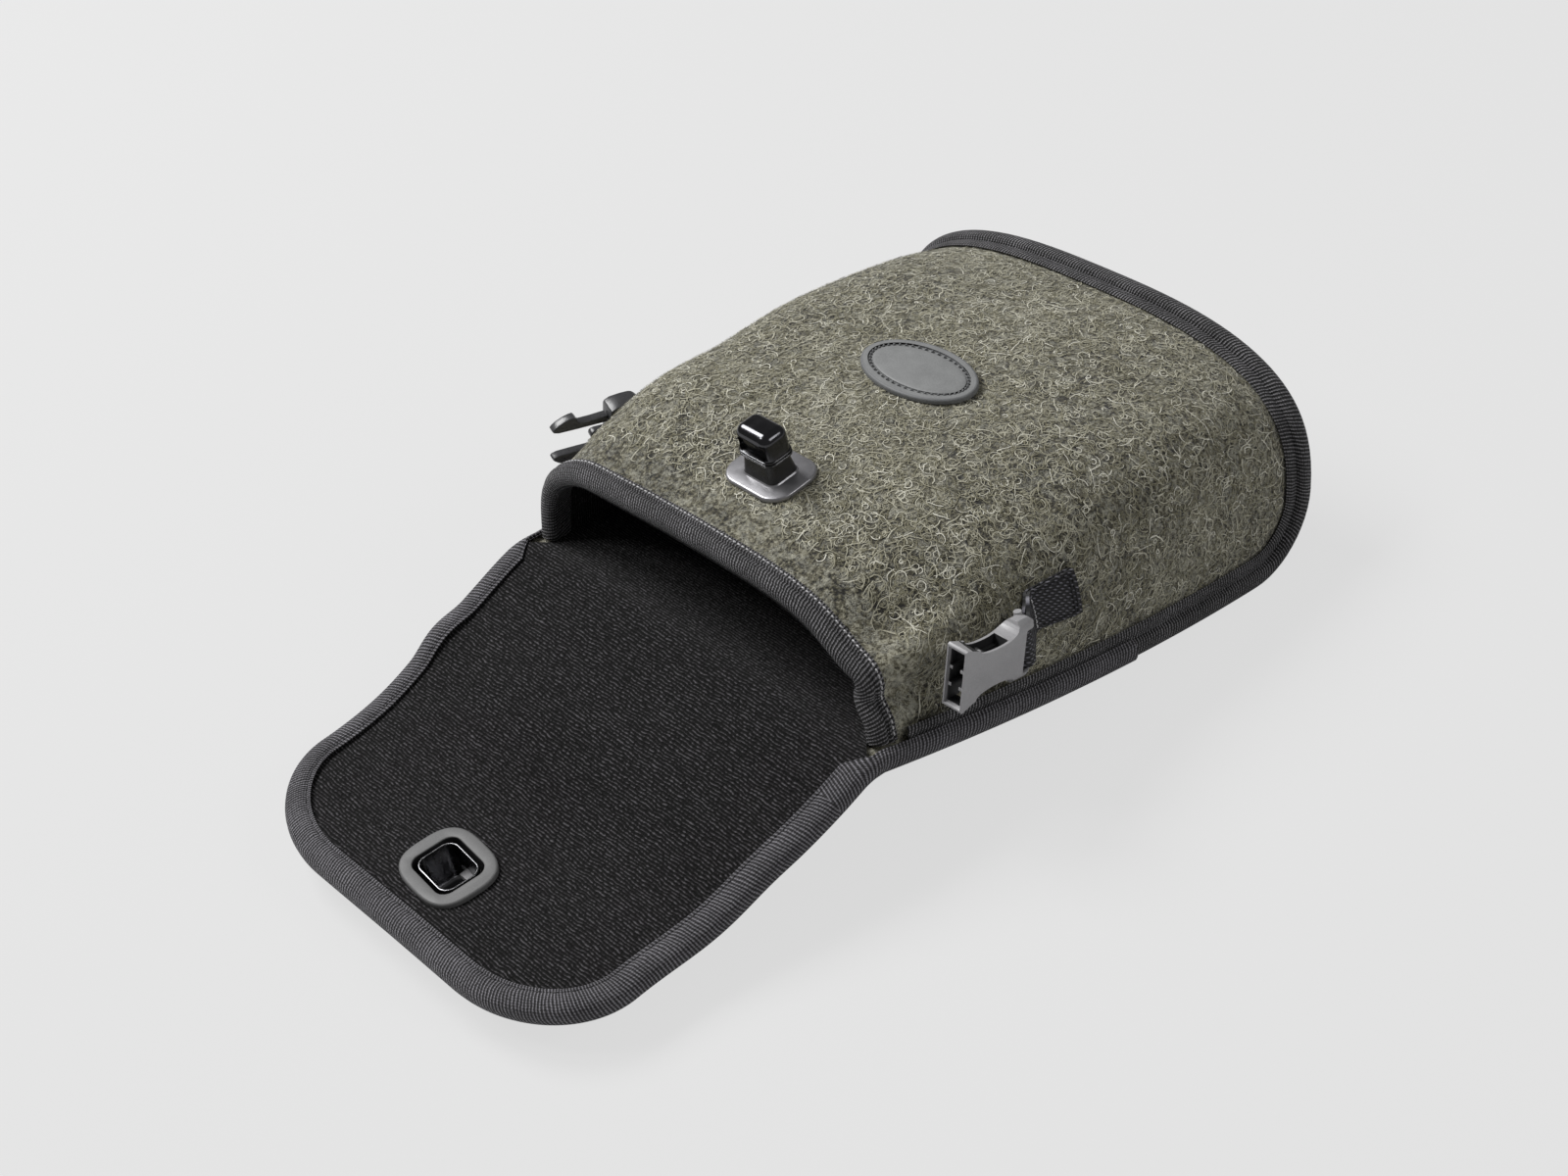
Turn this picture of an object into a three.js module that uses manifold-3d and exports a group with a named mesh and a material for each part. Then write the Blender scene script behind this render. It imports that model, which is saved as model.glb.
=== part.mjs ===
// Binocular pouch in loden felt, lying on its back with the flap folded open.
//
// The pouch is drawn flat: X across, +Y from the mouth to the closed end, +Z out of
// the front. At the end it is tilted about X until its closed end and the lock
// housing under the flap both stand on the floor. All sizes are in millimetres.

import * as THREE from 'three';
import { mergeVertices } from 'three/addons/utils/BufferGeometryUtils.js';
import Module from 'manifold-3d';

// Thicknesses and clearances
const feltThickness = 3;
const liningThickness = 1;
const tapeThickness = 0.6;
const tapeFoldRadius = 1.2;
const webbingThickness = 1.3;
const fitGap = 0.3;

// Pouch body
const mouthWidth = 145;
const bottomWidth = 161;
const sideBulge = 5;
const mouthDepth = 35;
const bottomDepth = 59;
const frontBulge = 6.5;
const bodyLength = 162;
const wallPower = 4.2;
const frontPower = 2.8;
const bottomBendRadius = 20;
const seamAllowance = 3;
const seamTapeClimb = 5.2;
const seamTapeUnder = 7;
const mouthTapeOutside = 9;
const mouthTapeInside = 8;

// Flap, measured along its middle from the mouth edge of the back
const flapLength = 119.5;
const flapTopFoldStation = 3;
const flapFrontFoldStation = 35.3;
const flapShoulderLength = 18;
const flapWaistNarrowing = 2.8;
const flapCornerNarrowing = 5.4;
const flapWaistStation = 58;
const flapCornerDepth = 30;
const flapCornerWidth = 40;
const flapTapeLeg = 8;
const flapTapeTailLength = 88;

// Slope of the open flap below the back, in degrees, at shares of its length
const flapSlopes = [
  [-0.008, 0],
  [0.067, 25],
  [0.318, 26],
  [0.4184, 32],
  [0.4854, 28],
  [0.6025, 16],
  [0.703, 12],
  [1, 12],
];

// Lock on the pouch
const postStation = 28.5;
const basePlateWidth = 23;
const basePlateLength = 18;
const basePlateThickness = 1.2;
const basePlateCorner = 5.5;
const stemHeight = 7;
const stemFootWidth = 13;
const stemFootLength = 10;
const headWidth = 12.4;
const headLength = 8.2;
const headHeight = 8.6;
const headCorner = 1.6;
const rivetRadius = 1.5;
const rivetSpacing = 9;
const rivetHeadRadius = 2.6;
const rivetHeadThickness = 0.9;
const backingPlateThickness = 1;

// Lock in the flap
const lockStation = 96;
const frameWidth = 25;
const frameLength = 21;
const frameCorner = 7;
const frameThickness = 1.5;
const frameHoleWidth = 17.5;
const frameHoleLength = 14.3;
const frameHoleCorner = 3;
const frameCollarWall = 1;
const cupWall = 0.8;
const cupClearance = 0.8;
const cupFloorClearance = 0.5;
const cupRimBelowFrame = 0.5;
const closedStandoff = 3.2;
const housingWall = 1.5;
const housingWidth = 32;
const housingLength = 27;
const housingCorner = 5;
const latchThickness = 1.5;
const latchBar = 3;
const latchNoseWidth = 6;
const latchEngagement = 0.5;
const notchDepth = 0.9;
const notchWidth = 7.4;
const latchBelowFelt = 3;
const pressTravel = 1.8;
const buttonWidth = 12;
const buttonHeight = 4;
const buttonProud = 3;

// Badge on the front
const badgeStation = 85.7;
const badgeWidth = 42;
const badgeLength = 25;
const badgeThickness = 1.6;
const badgeRimWidth = 2.6;
const badgeGrooveDepth = 0.6;
const badgeGrooveWidth = 0.8;

// Straps and the two halves of the side buckle
const strapStation = 45;
const strapHeight = 20;
const strapDroop = 4.5;
const strapWidth = 15.5;
const strapTabLength = 26;
const buckleBarRadius = 1.5;
const buckleBarOut = 4.2;
const buckleThickness = 6.6;
const buckleWidth = 20.6;
const buckleWaist = 12.6;
const buckleSideClearance = 0.6;
const buckleBarEnd = 8.6;
const socketLength = 27;
const socketMouthBand = 6.5;
const socketWall = 1.1;
const forkShoulder = 9.4;
const forkProngLength = 18;
const prongSpacing = 11;
const prongWidth = 2.6;
const prongThickness = 3.2;
const prongTipWidth = 5;
const prongTipLength = 9;
const prongTipSlant = 2;
const prongTipRise = 0.6;
const guideWidth = 3;
const guideLength = 12;
const guideRoot = 1;
const buckleEndTaper = 1;
const forkShoulderTaper = 1.5;
const socketRestAngle = 5;
const forkRestAngle = 22;

// Mesh fineness
const archSteps = 34;
const frontSteps = 8;
const bendSteps = 6;
const backColumns = 4;
const roundSteps = 5;

const wasm = await Module();
wasm.setup();

// Materials
const felt = new THREE.MeshStandardMaterial({ color: 0x7d7a6b, roughness: 1, metalness: 0 });
const knit = new THREE.MeshStandardMaterial({ color: 0x2e2c2d, roughness: 1, metalness: 0 });
const grosgrain = new THREE.MeshStandardMaterial({ color: 0x38363a, roughness: 0.8, metalness: 0 });
const webbing = new THREE.MeshStandardMaterial({ color: 0x2b2a2e, roughness: 0.85, metalness: 0 });
const blackPlastic = new THREE.MeshStandardMaterial({ color: 0x141312, roughness: 0.15, metalness: 0 });
const satinPlastic = new THREE.MeshStandardMaterial({ color: 0x2a292b, roughness: 0.4, metalness: 0 });
const greyPlastic = new THREE.MeshStandardMaterial({ color: 0xa0a09e, roughness: 0.4, metalness: 0 });
const bucklePlastic = new THREE.MeshStandardMaterial({ color: 0x5c5c5d, roughness: 0.45, metalness: 0 });
const badgeRubber = new THREE.MeshStandardMaterial({ color: 0x959695, roughness: 0.5, metalness: 0 });
const steel = new THREE.MeshStandardMaterial({ color: 0x8a8a8a, roughness: 0.35, metalness: 1 });

function mesh(name, geometry, material) {
  const piece = new THREE.Mesh(geometry, material);
  piece.name = name;
  return piece;
}

// Solids from two facing grids of points, closed along their four sides
function gridSolid(front, back) {
  const rows = front.length;
  const columns = front[0].length;
  const points = [...front.flat(), ...back.flat()];
  const at = (side, r, c) => side * rows * columns + r * columns + c;
  const faces = [];
  const quad = (a, b, c, d) => faces.push(a, b, c, a, c, d);
  for (let r = 0; r < rows - 1; r++) {
    for (let c = 0; c < columns - 1; c++) {
      quad(at(0, r, c), at(0, r, c + 1), at(0, r + 1, c + 1), at(0, r + 1, c));
      quad(at(1, r, c), at(1, r + 1, c), at(1, r + 1, c + 1), at(1, r, c + 1));
    }
  }
  for (let r = 0; r < rows - 1; r++) {
    quad(at(0, r, 0), at(0, r + 1, 0), at(1, r + 1, 0), at(1, r, 0));
    const c = columns - 1;
    quad(at(0, r, c), at(1, r, c), at(1, r + 1, c), at(0, r + 1, c));
  }
  for (let c = 0; c < columns - 1; c++) {
    quad(at(0, 0, c), at(1, 0, c), at(1, 0, c + 1), at(0, 0, c + 1));
    const r = rows - 1;
    quad(at(0, r, c), at(0, r, c + 1), at(1, r, c + 1), at(1, r, c));
  }
  return facingOut(points, faces);
}

// A closed geometry whose faces all point outwards
function facingOut(points, faces) {
  let volume = 0;
  for (let i = 0; i < faces.length; i += 3) {
    const [a, b, c] = [points[faces[i]], points[faces[i + 1]], points[faces[i + 2]]];
    volume += a.dot(b.clone().cross(c)) / 6;
  }
  if (volume < 0) faces.reverse();
  const geometry = new THREE.BufferGeometry();
  geometry.setAttribute(
    'position', new THREE.Float32BufferAttribute(points.flatMap((p) => p.toArray()), 3),
  );
  geometry.setIndex(faces);
  return geometry;
}

// Joins and cuts
function toSolid(geometry) {
  const bare = geometry.clone();
  bare.deleteAttribute('normal');
  bare.deleteAttribute('uv');
  const merged = mergeVertices(bare, 1e-4);
  return new wasm.Manifold(new wasm.Mesh({
    numProp: 3,
    vertProperties: new Float32Array(merged.attributes.position.array),
    triVerts: new Uint32Array(merged.index.array),
  }));
}

function fromSolid(solid) {
  const { vertProperties, triVerts, numProp } = solid.getMesh();
  const positions = [];
  for (let i = 0; i < vertProperties.length; i += numProp) {
    positions.push(vertProperties[i], vertProperties[i + 1], vertProperties[i + 2]);
  }
  const geometry = new THREE.BufferGeometry();
  geometry.setAttribute('position', new THREE.Float32BufferAttribute(positions, 3));
  geometry.setIndex([...triVerts]);
  return geometry;
}

function cut(geometry, ...tools) {
  return fromSolid(tools.reduce((solid, tool) => solid.subtract(toSolid(tool)), toSolid(geometry)));
}

function join(geometry, ...others) {
  return fromSolid(others.reduce((solid, other) => solid.add(toSolid(other)), toSolid(geometry)));
}

// Plates and blocks standing on z = 0
function roundedOutline(width, length, corner) {
  const [x, y] = [width / 2, length / 2];
  const shape = new THREE.Shape();
  shape.moveTo(x - corner, -y);
  shape.absarc(x - corner, -y + corner, corner, -Math.PI / 2, 0);
  shape.absarc(x - corner, y - corner, corner, 0, Math.PI / 2);
  shape.absarc(-x + corner, y - corner, corner, Math.PI / 2, Math.PI);
  shape.absarc(-x + corner, -y + corner, corner, Math.PI, Math.PI * 1.5);
  return shape;
}

function roundedPlate(width, length, corner, low, high) {
  const geometry = new THREE.ExtrudeGeometry(roundedOutline(width, length, corner), {
    depth: high - low, bevelEnabled: false, curveSegments: roundSteps,
  });
  return geometry.translate(0, 0, low);
}

function block(x, y, z) {
  const geometry = new THREE.BoxGeometry(x[1] - x[0], y[1] - y[0], z[1] - z[0]);
  return geometry.translate((x[0] + x[1]) / 2, (y[0] + y[1]) / 2, (z[0] + z[1]) / 2);
}

function peg(radius, low, high) {
  const geometry = new THREE.CylinderGeometry(radius, radius, high - low, 16);
  return geometry.rotateX(Math.PI / 2).translate(0, 0, (low + high) / 2);
}

// Smooth value through a short list of stations
function valueAt(stations, s) {
  const last = stations.length - 1;
  if (s <= stations[0][0]) return stations[0][1];
  if (s >= stations[last][0]) return stations[last][1];
  const i = stations.findIndex(([at]) => at > s) - 1;
  const [s0, v0] = stations[i];
  const [s1, v1] = stations[i + 1];
  const slope = (j) => {
    const [before, after] = [stations[Math.max(j - 1, 0)], stations[Math.min(j + 1, last)]];
    return j === 0 || j === last ? 0 : (after[1] - before[1]) / (after[0] - before[0]);
  };
  const t = (s - s0) / (s1 - s0);
  const [m0, m1] = [slope(i) * (s1 - s0), slope(i + 1) * (s1 - s0)];
  return (2 * t ** 3 - 3 * t ** 2 + 1) * v0 + (t ** 3 - 2 * t ** 2 + t) * m0
    + (3 * t ** 2 - 2 * t ** 3) * v1 + (t ** 3 - t ** 2) * m1;
}

// Pouch surfaces

// Sizes run from the mouth's to the closed end's, fuller by a bulge in the middle
function bulged(first, last, bulge) {
  const middle = 4 * bulge;
  return {
    at: (y) => first + (last - first) * (y / bodyLength) + middle * (y / bodyLength) * (1 - y / bodyLength),
    slopeAt: (y) => (last - first + middle * (1 - 2 * (y / bodyLength))) / bodyLength,
  };
}

const halfWidth = bulged(mouthWidth / 2, bottomWidth / 2, sideBulge);
const depth = bulged(mouthDepth, bottomDepth, frontBulge);
const bendStart = bodyLength - bottomBendRadius;

// A point of the felt's outside at station y, sunk inwards by inset
function archPoint(y, angle, inset) {
  const [w, h] = [halfWidth.at(y), depth.at(y)];
  const [c, s] = [Math.cos(angle), Math.sin(angle)];
  const x = w * Math.sign(c) * Math.abs(c) ** (2 / frontPower);
  const z = h * Math.abs(s) ** (2 / wallPower);
  const normal = archNormal(x, y, z);
  return new THREE.Vector3(x - normal.x * inset, y, z - normal.z * inset);
}

function archNormal(x, y, z) {
  const [w, h] = [halfWidth.at(y), depth.at(y)];
  const nx = (frontPower / w) * Math.sign(x) * Math.abs(x / w) ** (frontPower - 1);
  const nz = (wallPower / h) * Math.abs(z / h) ** (wallPower - 1);
  return new THREE.Vector3(nx, 0, nz).normalize();
}

const angleAtHeight = (y, z) => Math.asin(Math.min(1, (z / depth.at(y)) ** (wallPower / 2)));

// Height of the wall's foot at station y, lifted off the back by lift
function footHeight(y, lift) {
  if (y <= bendStart) return lift;
  const radius = bottomBendRadius - lift;
  const along = Math.min(y - bendStart, radius);
  return bottomBendRadius - Math.sqrt(radius ** 2 - along ** 2);
}

// Angles across the arch: the same ones everywhere but for the two feet, so that
// layers on each other keep the same facets
const wallAngle = 1.08 * angleAtHeight(bodyLength, bottomBendRadius);

function archAngles(foot) {
  const between = Array.from({ length: archSteps - 1 }, (_, i) => (
    wallAngle + (Math.PI - 2 * wallAngle) * (i / (archSteps - 2))
  ));
  return [foot, ...between, Math.PI - foot];
}

function archRow(y, inset, lift) {
  const foot = angleAtHeight(y, footHeight(y, lift));
  return archAngles(foot).map((angle) => archPoint(y, angle, inset));
}

function archStations(from, lift) {
  const stations = Array.from({ length: frontSteps }, (_, i) => (
    from + (bendStart - from) * (i / (frontSteps - 1))
  ));
  for (let i = 1; i <= bendSteps; i++) {
    const along = Math.sin((Math.PI / 2) * (i / bendSteps));
    stations.push(bendStart + (bottomBendRadius - lift) * along);
  }
  return stations;
}

function archLayer(from, outside, inside, lift) {
  const stations = archStations(from, lift);
  return gridSolid(
    stations.map((y) => archRow(y, outside, lift)),
    stations.map((y) => archRow(y, inside, lift)),
  );
}

// Seam line round the wall's foot and over the closed end, from t = 0 at the mouth
// to t = 1 at the middle of the closed end, on the +X side. Over is the spot of the
// wall beside the seam tape's edge
const seamFlatShare = 0.4;
const seamBendShare = 0.2;

function seamSpot(t, from) {
  if (t <= seamFlatShare) {
    const y = from + (bendStart - from) * (t / seamFlatShare);
    return {
      point: new THREE.Vector3(halfWidth.at(y), y, 0),
      up: new THREE.Vector3(0, 0, 1),
      over: archPoint(y, angleAtHeight(y, seamTapeClimb), 0),
    };
  }
  if (t <= seamFlatShare + seamBendShare) {
    const bend = (Math.PI / 2) * ((t - seamFlatShare) / seamBendShare);
    const y = bendStart + bottomBendRadius * Math.sin(bend);
    const z = bottomBendRadius * (1 - Math.cos(bend));
    const point = archPoint(y, angleAtHeight(y, z), 0);
    const up = new THREE.Vector3(0, -Math.sin(bend), Math.cos(bend));
    const higher = point.clone().addScaledVector(up, seamTapeClimb);
    return { point, up, over: archPoint(higher.y, angleAtHeight(higher.y, higher.z), 0) };
  }
  const start = angleAtHeight(bodyLength, bottomBendRadius);
  const share = (t - seamFlatShare - seamBendShare) / (1 - seamFlatShare - seamBendShare);
  const angle = start + (Math.PI / 2 - start) * share;
  return {
    point: archPoint(bodyLength, angle, 0),
    up: new THREE.Vector3(0, -1, 0),
    over: archPoint(bodyLength - seamTapeClimb, angle, 0),
  };
}

// Adds to each spot of a line its direction out of the seam
function withOutward(spots) {
  return spots.map((spot, i) => {
    const before = spots[Math.max(i - 1, 0)].point;
    const after = spots[Math.min(i + 1, spots.length - 1)].point;
    const along = after.clone().sub(before).normalize();
    return { ...spot, out: along.cross(spot.up).normalize() };
  });
}

const mirrored = (v) => new THREE.Vector3(-v.x, v.y, v.z);

// The whole line from the +X side to the -X side, from its +X half
function bothSides(half) {
  return [...half, ...mirroredLine(half).reverse().slice(1)];
}

function mirroredLine(line) {
  return line.map(({ point, up, out, lean }) => (
    { point: mirrored(point), up: mirrored(up), out: mirrored(out), lean }
  ));
}

function seamLine(from, steps) {
  const spots = Array.from({ length: steps + 1 }, (_, i) => seamSpot(i / steps, from));
  const half = withOutward(spots);
  half[steps].out = new THREE.Vector3(0, 0, 1);
  return half.map((spot) => (
    { ...spot, lean: spot.over.clone().sub(spot.point).dot(spot.out) / seamTapeClimb }
  ));
}

// A layer of the back, between heights low and high off its inner face, with its
// edges at a distance out of the seam line
function backLayer(edge, low, high) {
  const stations = [flapTopFoldStation - fitGap / 2, flapTopFoldStation / 2];
  const rows = stations.map((s) => ({ x: mouthWidth / 2 + edge, ...flapSpot(s) }));
  const line = seamLine(0, 30);
  for (const { point, up, out } of line.slice(0, -1)) {
    const rim = point.clone().addScaledVector(out, edge);
    rows.push({ x: rim.x, y: rim.y, z: rim.z, up });
  }
  return sheetSolid(rows, low, high, backColumns);
}

// A sheet from straight rows across X
function sheetSolid(rows, low, high, columns = 2) {
  const layer = (height) => rows.map(({ x, y, z, up }) => (
    Array.from({ length: columns + 1 }, (_, i) => (
      new THREE.Vector3(x * (1 - 2 * i / columns), y, z).addScaledVector(up, height)
    ))
  ));
  return gridSolid(layer(high), layer(low));
}

// Tape sections, as points (out, up) off a line

// A tape folded over an edge whose outermost point is edge, between two faces
function foldedTape(edge, top, bottom, topLeg, bottomLeg) {
  const side = (shrink) => {
    const radius = tapeFoldRadius - shrink;
    const points = [[edge - topLeg, top - shrink]];
    for (let i = 0; i <= 2; i++) {
      const turn = (Math.PI / 4) * i;
      points.push([
        edge - tapeFoldRadius + radius * Math.sin(turn),
        top - tapeFoldRadius + radius * Math.cos(turn),
      ]);
    }
    for (let i = 2; i >= 0; i--) {
      const turn = (Math.PI / 4) * i;
      points.push([
        edge - tapeFoldRadius + radius * Math.sin(turn),
        bottom + tapeFoldRadius - radius * Math.cos(turn),
      ]);
    }
    points.push([edge - bottomLeg, bottom + shrink]);
    return points;
  };
  return { outer: side(0), inner: side(tapeThickness) };
}

// A lean takes what stands above the line outwards, as the wall beside it does
function tapeAlong(line, { outer, inner }) {
  const layer = (section) => line.map(({ point, up, out, lean = 0 }) => section.map(([o, u]) => (
    point.clone().addScaledVector(out, o + lean * Math.max(0, u)).addScaledVector(up, u)
  )));
  return gridSolid(layer(outer), layer(inner));
}

// Flap surface

// The flap's middle line: its place and its upward direction at station s
const profileStep = 0.5;
const profile = [{ y: 0, z: 0 }];
for (let s = 0; s < flapLength + profileStep; s += profileStep) {
  const slope = THREE.MathUtils.degToRad(valueAt(flapSlopes, (s + profileStep / 2) / flapLength));
  const { y, z } = profile[profile.length - 1];
  profile.push({ y: y - Math.cos(slope) * profileStep, z: z - Math.sin(slope) * profileStep });
}

function flapSpot(s) {
  const slope = THREE.MathUtils.degToRad(valueAt(flapSlopes, s / flapLength));
  const up = new THREE.Vector3(0, -Math.sin(slope), Math.cos(slope));
  const i = Math.min(Math.floor(s / profileStep), profile.length - 2);
  const t = s / profileStep - i;
  const [a, b] = [profile[i], profile[i + 1]];
  return { y: a.y + (b.y - a.y) * t, z: a.z + (b.z - a.z) * t, up };
}

const flapCornerStation = flapLength - flapCornerDepth;
const flapShoulder = mouthWidth / 2 + seamAllowance + 2 * (fitGap + tapeThickness);
const flapCorner = flapShoulder - flapCornerNarrowing;
const flapHalfWidths = [
  [0, flapShoulder],
  [flapShoulderLength, flapShoulder],
  [flapWaistStation, flapShoulder - flapWaistNarrowing],
  [flapCornerStation, flapCorner],
];

// Outline of the flap's +X half from one station to another, as points (x, s), each
// moved in from the edge by inset
function flapOutline(from, to, inset, steps) {
  const points = [];
  const sideEnd = Math.min(to, flapCornerStation);
  for (let i = 0; i <= steps; i++) {
    const s = from + (sideEnd - from) * (i / steps);
    points.push([valueAt(flapHalfWidths, s) - inset, s]);
  }
  if (to <= flapCornerStation) return points;
  for (let i = 1; i <= steps; i++) {
    const turn = (Math.PI / 2) * (i / steps);
    points.push([
      flapCorner - flapCornerWidth + (flapCornerWidth - inset) * Math.cos(turn),
      flapCornerStation + (flapCornerDepth - inset) * Math.sin(turn),
    ]);
  }
  return points;
}

function flapLayer(from, to, inset, low, high, steps) {
  const rows = flapOutline(from, to, inset, steps).map(([x, s]) => ({ x, ...flapSpot(s) }));
  return sheetSolid(rows, low, high);
}

function flapLine(from, to, steps) {
  return withOutward(flapOutline(from, to, 0, steps).map(([x, s]) => {
    const { y, z, up } = flapSpot(s);
    return { point: new THREE.Vector3(x, y, z), up };
  })).map((spot) => ({ ...spot, out: spot.out.negate() }));
}

// Frames for what is fastened to the felt

// A group standing on the front at station y, with its z axis out of the felt
function onFront(y) {
  const group = new THREE.Group();
  group.position.set(0, y, depth.at(y));
  group.rotation.x = Math.atan(depth.slopeAt(y));
  return group;
}

// A group on the side wall at the strap's start: x along the strap, y out of the felt
function onSide(side) {
  const [y, z] = [strapStation, strapHeight];
  const { x } = archPoint(y, angleAtHeight(y, z), 0);
  const [w, h] = [halfWidth.at(y), depth.at(y)];
  const across = archNormal(x, y, z);
  const steps = across.x * (x / w) * halfWidth.slopeAt(y) + across.z * (z / h) * depth.slopeAt(y);
  const normal = new THREE.Vector3(side * across.x, -steps, across.z).normalize();
  const along = new THREE.Vector3(0, 1, 0).addScaledVector(normal, -normal.y).normalize();
  const group = new THREE.Group();
  const axes = new THREE.Matrix4().makeBasis(along, normal, along.clone().cross(normal));
  group.quaternion.setFromRotationMatrix(axes);
  group.rotateY(side * THREE.MathUtils.degToRad(strapDroop));
  group.position.set(side * x, y, z);
  return group;
}

// Lock heights, measured from the felt's outside on the pouch and, in the flap, from
// the inner face of its felt
const stackTop = fitGap + liningThickness;
const frameFace = stackTop + fitGap + frameThickness;
const headTop = fitGap + basePlateThickness + stemHeight + fitGap + headHeight;
const closedFace = fitGap + basePlateThickness + closedStandoff;
const intoLock = (height) => frameFace - (height - closedFace);
const cupFloor = intoLock(headTop) - cupFloorClearance;
const housingFloor = cupFloor - cupWall - fitGap;
const housingTop = -feltThickness - fitGap;
const latchMiddle = housingTop - latchBelowFelt;
const notchHeight = closedFace + frameFace - latchMiddle;
const cupWidth = headWidth + 2 * cupClearance;
const cupLength = headLength + 2 * cupClearance;
const cupCorner = headCorner + cupClearance;

// Pouch

function frontShell() {
  const shell = archLayer(tapeThickness + fitGap, 0, feltThickness, fitGap);
  return cut(shell, ...rivetHoles());
}

function frontLining() {
  const outside = feltThickness + fitGap;
  const lift = stackTop + fitGap;
  const lining = archLayer(tapeThickness + fitGap, outside, outside + liningThickness, lift);
  return cut(lining, ...rivetHoles());
}

function rivetHoles() {
  return [-1, 1].map((side) => {
    const group = onFront(postStation);
    group.updateMatrix();
    const hole = peg(rivetRadius + fitGap, -3 * feltThickness, feltThickness);
    return hole.translate(side * rivetSpacing / 2, 0, 0).applyMatrix4(group.matrix);
  });
}

// The seam tape climbs the wall's foot, runs over the allowance and turns under it
function seamTape() {
  const edge = seamAllowance + fitGap + tapeThickness;
  const bottom = -feltThickness - fitGap - tapeThickness;
  const over = foldedTape(edge, fitGap + tapeThickness, bottom, edge, seamTapeUnder);
  const [near, far] = [fitGap, fitGap + tapeThickness];
  over.outer.splice(0, 1, [far, seamTapeClimb], [far, far]);
  over.inner.splice(0, 1, [near, seamTapeClimb], [near, near]);
  const start = mouthTapeOutside + 2 * fitGap;
  return tapeAlong(bothSides(seamLine(start, 30)), over);
}

function mouthTape() {
  const top = fitGap + tapeThickness;
  const bottom = -(feltThickness + liningThickness + 2 * fitGap + tapeThickness);
  const foot = angleAtHeight(0, stackTop + 2 * fitGap);
  const line = archAngles(foot).map((angle) => {
    const point = archPoint(0, angle, 0);
    const out = point.clone().sub(archPoint(mouthTapeOutside, angle, 0)).normalize();
    return { point, up: archNormal(point.x, 0, point.z), out };
  });
  return tapeAlong(line, foldedTape(0, top, bottom, mouthTapeOutside, mouthTapeInside));
}

// The flap's tape runs on over the seam tape along the side of the back
function flapTapeTail(side) {
  const cover = seamAllowance + 2 * (fitGap + tapeThickness);
  const top = 2 * (fitGap + tapeThickness);
  const bottom = -feltThickness - 2 * (fitGap + tapeThickness);
  const leg = cover - top;
  const shape = foldedTape(cover, top, bottom, leg, flapTapeLeg);
  const along = [flapTopFoldStation - fitGap / 2, flapTopFoldStation / 2].map((s) => {
    const { y, z, up } = flapSpot(s);
    return { point: new THREE.Vector3(mouthWidth / 2, y, z), up };
  });
  for (const share of [0, 0.25, 0.5, 0.75, 1]) {
    const y = flapTapeTailLength * share;
    along.push({ point: new THREE.Vector3(halfWidth.at(y), y, 0), up: new THREE.Vector3(0, 0, 1) });
  }
  const line = withOutward(along);
  return tapeAlong(side > 0 ? line : mirroredLine(line), shape);
}

function badge() {
  const ring = (inset, low, high) => {
    const shape = new THREE.Shape();
    shape.absellipse(0, 0, badgeWidth / 2 - inset, badgeLength / 2 - inset, 0, 2 * Math.PI);
    const geometry = new THREE.ExtrudeGeometry(shape, {
      depth: high - low, bevelEnabled: false, curveSegments: 20,
    });
    return geometry.translate(0, 0, low);
  };
  const top = fitGap + badgeThickness;
  const [low, high] = [top - badgeGrooveDepth, top + 1];
  const groove = cut(
    ring(badgeRimWidth, low, high),
    ring(badgeRimWidth + badgeGrooveWidth, low - 1, high + 1),
  );
  return cut(ring(0, fitGap, top), groove);
}

// Lock post: a plate and tapering stem, with the head closed on top of the stem
function postStem() {
  const low = fitGap;
  const top = low + basePlateThickness;
  const plate = roundedPlate(basePlateWidth, basePlateLength, basePlateCorner, low, top);
  const sunk = basePlateThickness / 2;
  const stem = roundedPlate(1, 1, 0.15, top - sunk, top + stemHeight);
  const place = stem.attributes.position;
  for (let i = 0; i < place.count; i++) {
    const share = Math.max(0, (place.getZ(i) - top) / stemHeight);
    const width = stemFootWidth + (headWidth - 2 * fitGap - stemFootWidth) * share;
    const length = stemFootLength + (headLength - 2 * fitGap - stemFootLength) * share;
    place.setXY(i, place.getX(i) * width, place.getY(i) * length);
  }
  return cut(join(plate, stem), ...[-1, 1].map((side) => (
    peg(rivetRadius + fitGap, 0, top - rivetHeadThickness).translate(side * rivetSpacing / 2, 0, 0)
  )));
}

function postHead() {
  const low = headTop - headHeight;
  const crown = 1.4;
  const outline = roundedOutline(headWidth - 2 * crown, headLength - 2 * crown, headCorner / 2);
  const head = new THREE.ExtrudeGeometry(outline, {
    depth: headHeight - crown,
    bevelEnabled: true,
    bevelThickness: crown,
    bevelSize: crown,
    bevelSegments: 3,
    curveSegments: roundSteps,
  }).translate(0, 0, low);
  const below = block([-headWidth, headWidth], [-headWidth, headWidth], [low - 2 * crown, low]);
  const wide = notchWidth / 2;
  const notch = block(
    [-wide, wide],
    [-headLength, -headLength / 2 + notchDepth],
    [notchHeight - latchThickness, notchHeight + latchThickness],
  );
  return cut(head, below, notch);
}

function rivet() {
  const inner = -(feltThickness + liningThickness + 3 * fitGap + backingPlateThickness);
  const shank = peg(rivetRadius, inner - rivetHeadThickness / 2, rivetHeadThickness / 3);
  const head = peg(rivetHeadRadius, inner - rivetHeadThickness, inner);
  return join(shank, head);
}

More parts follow.
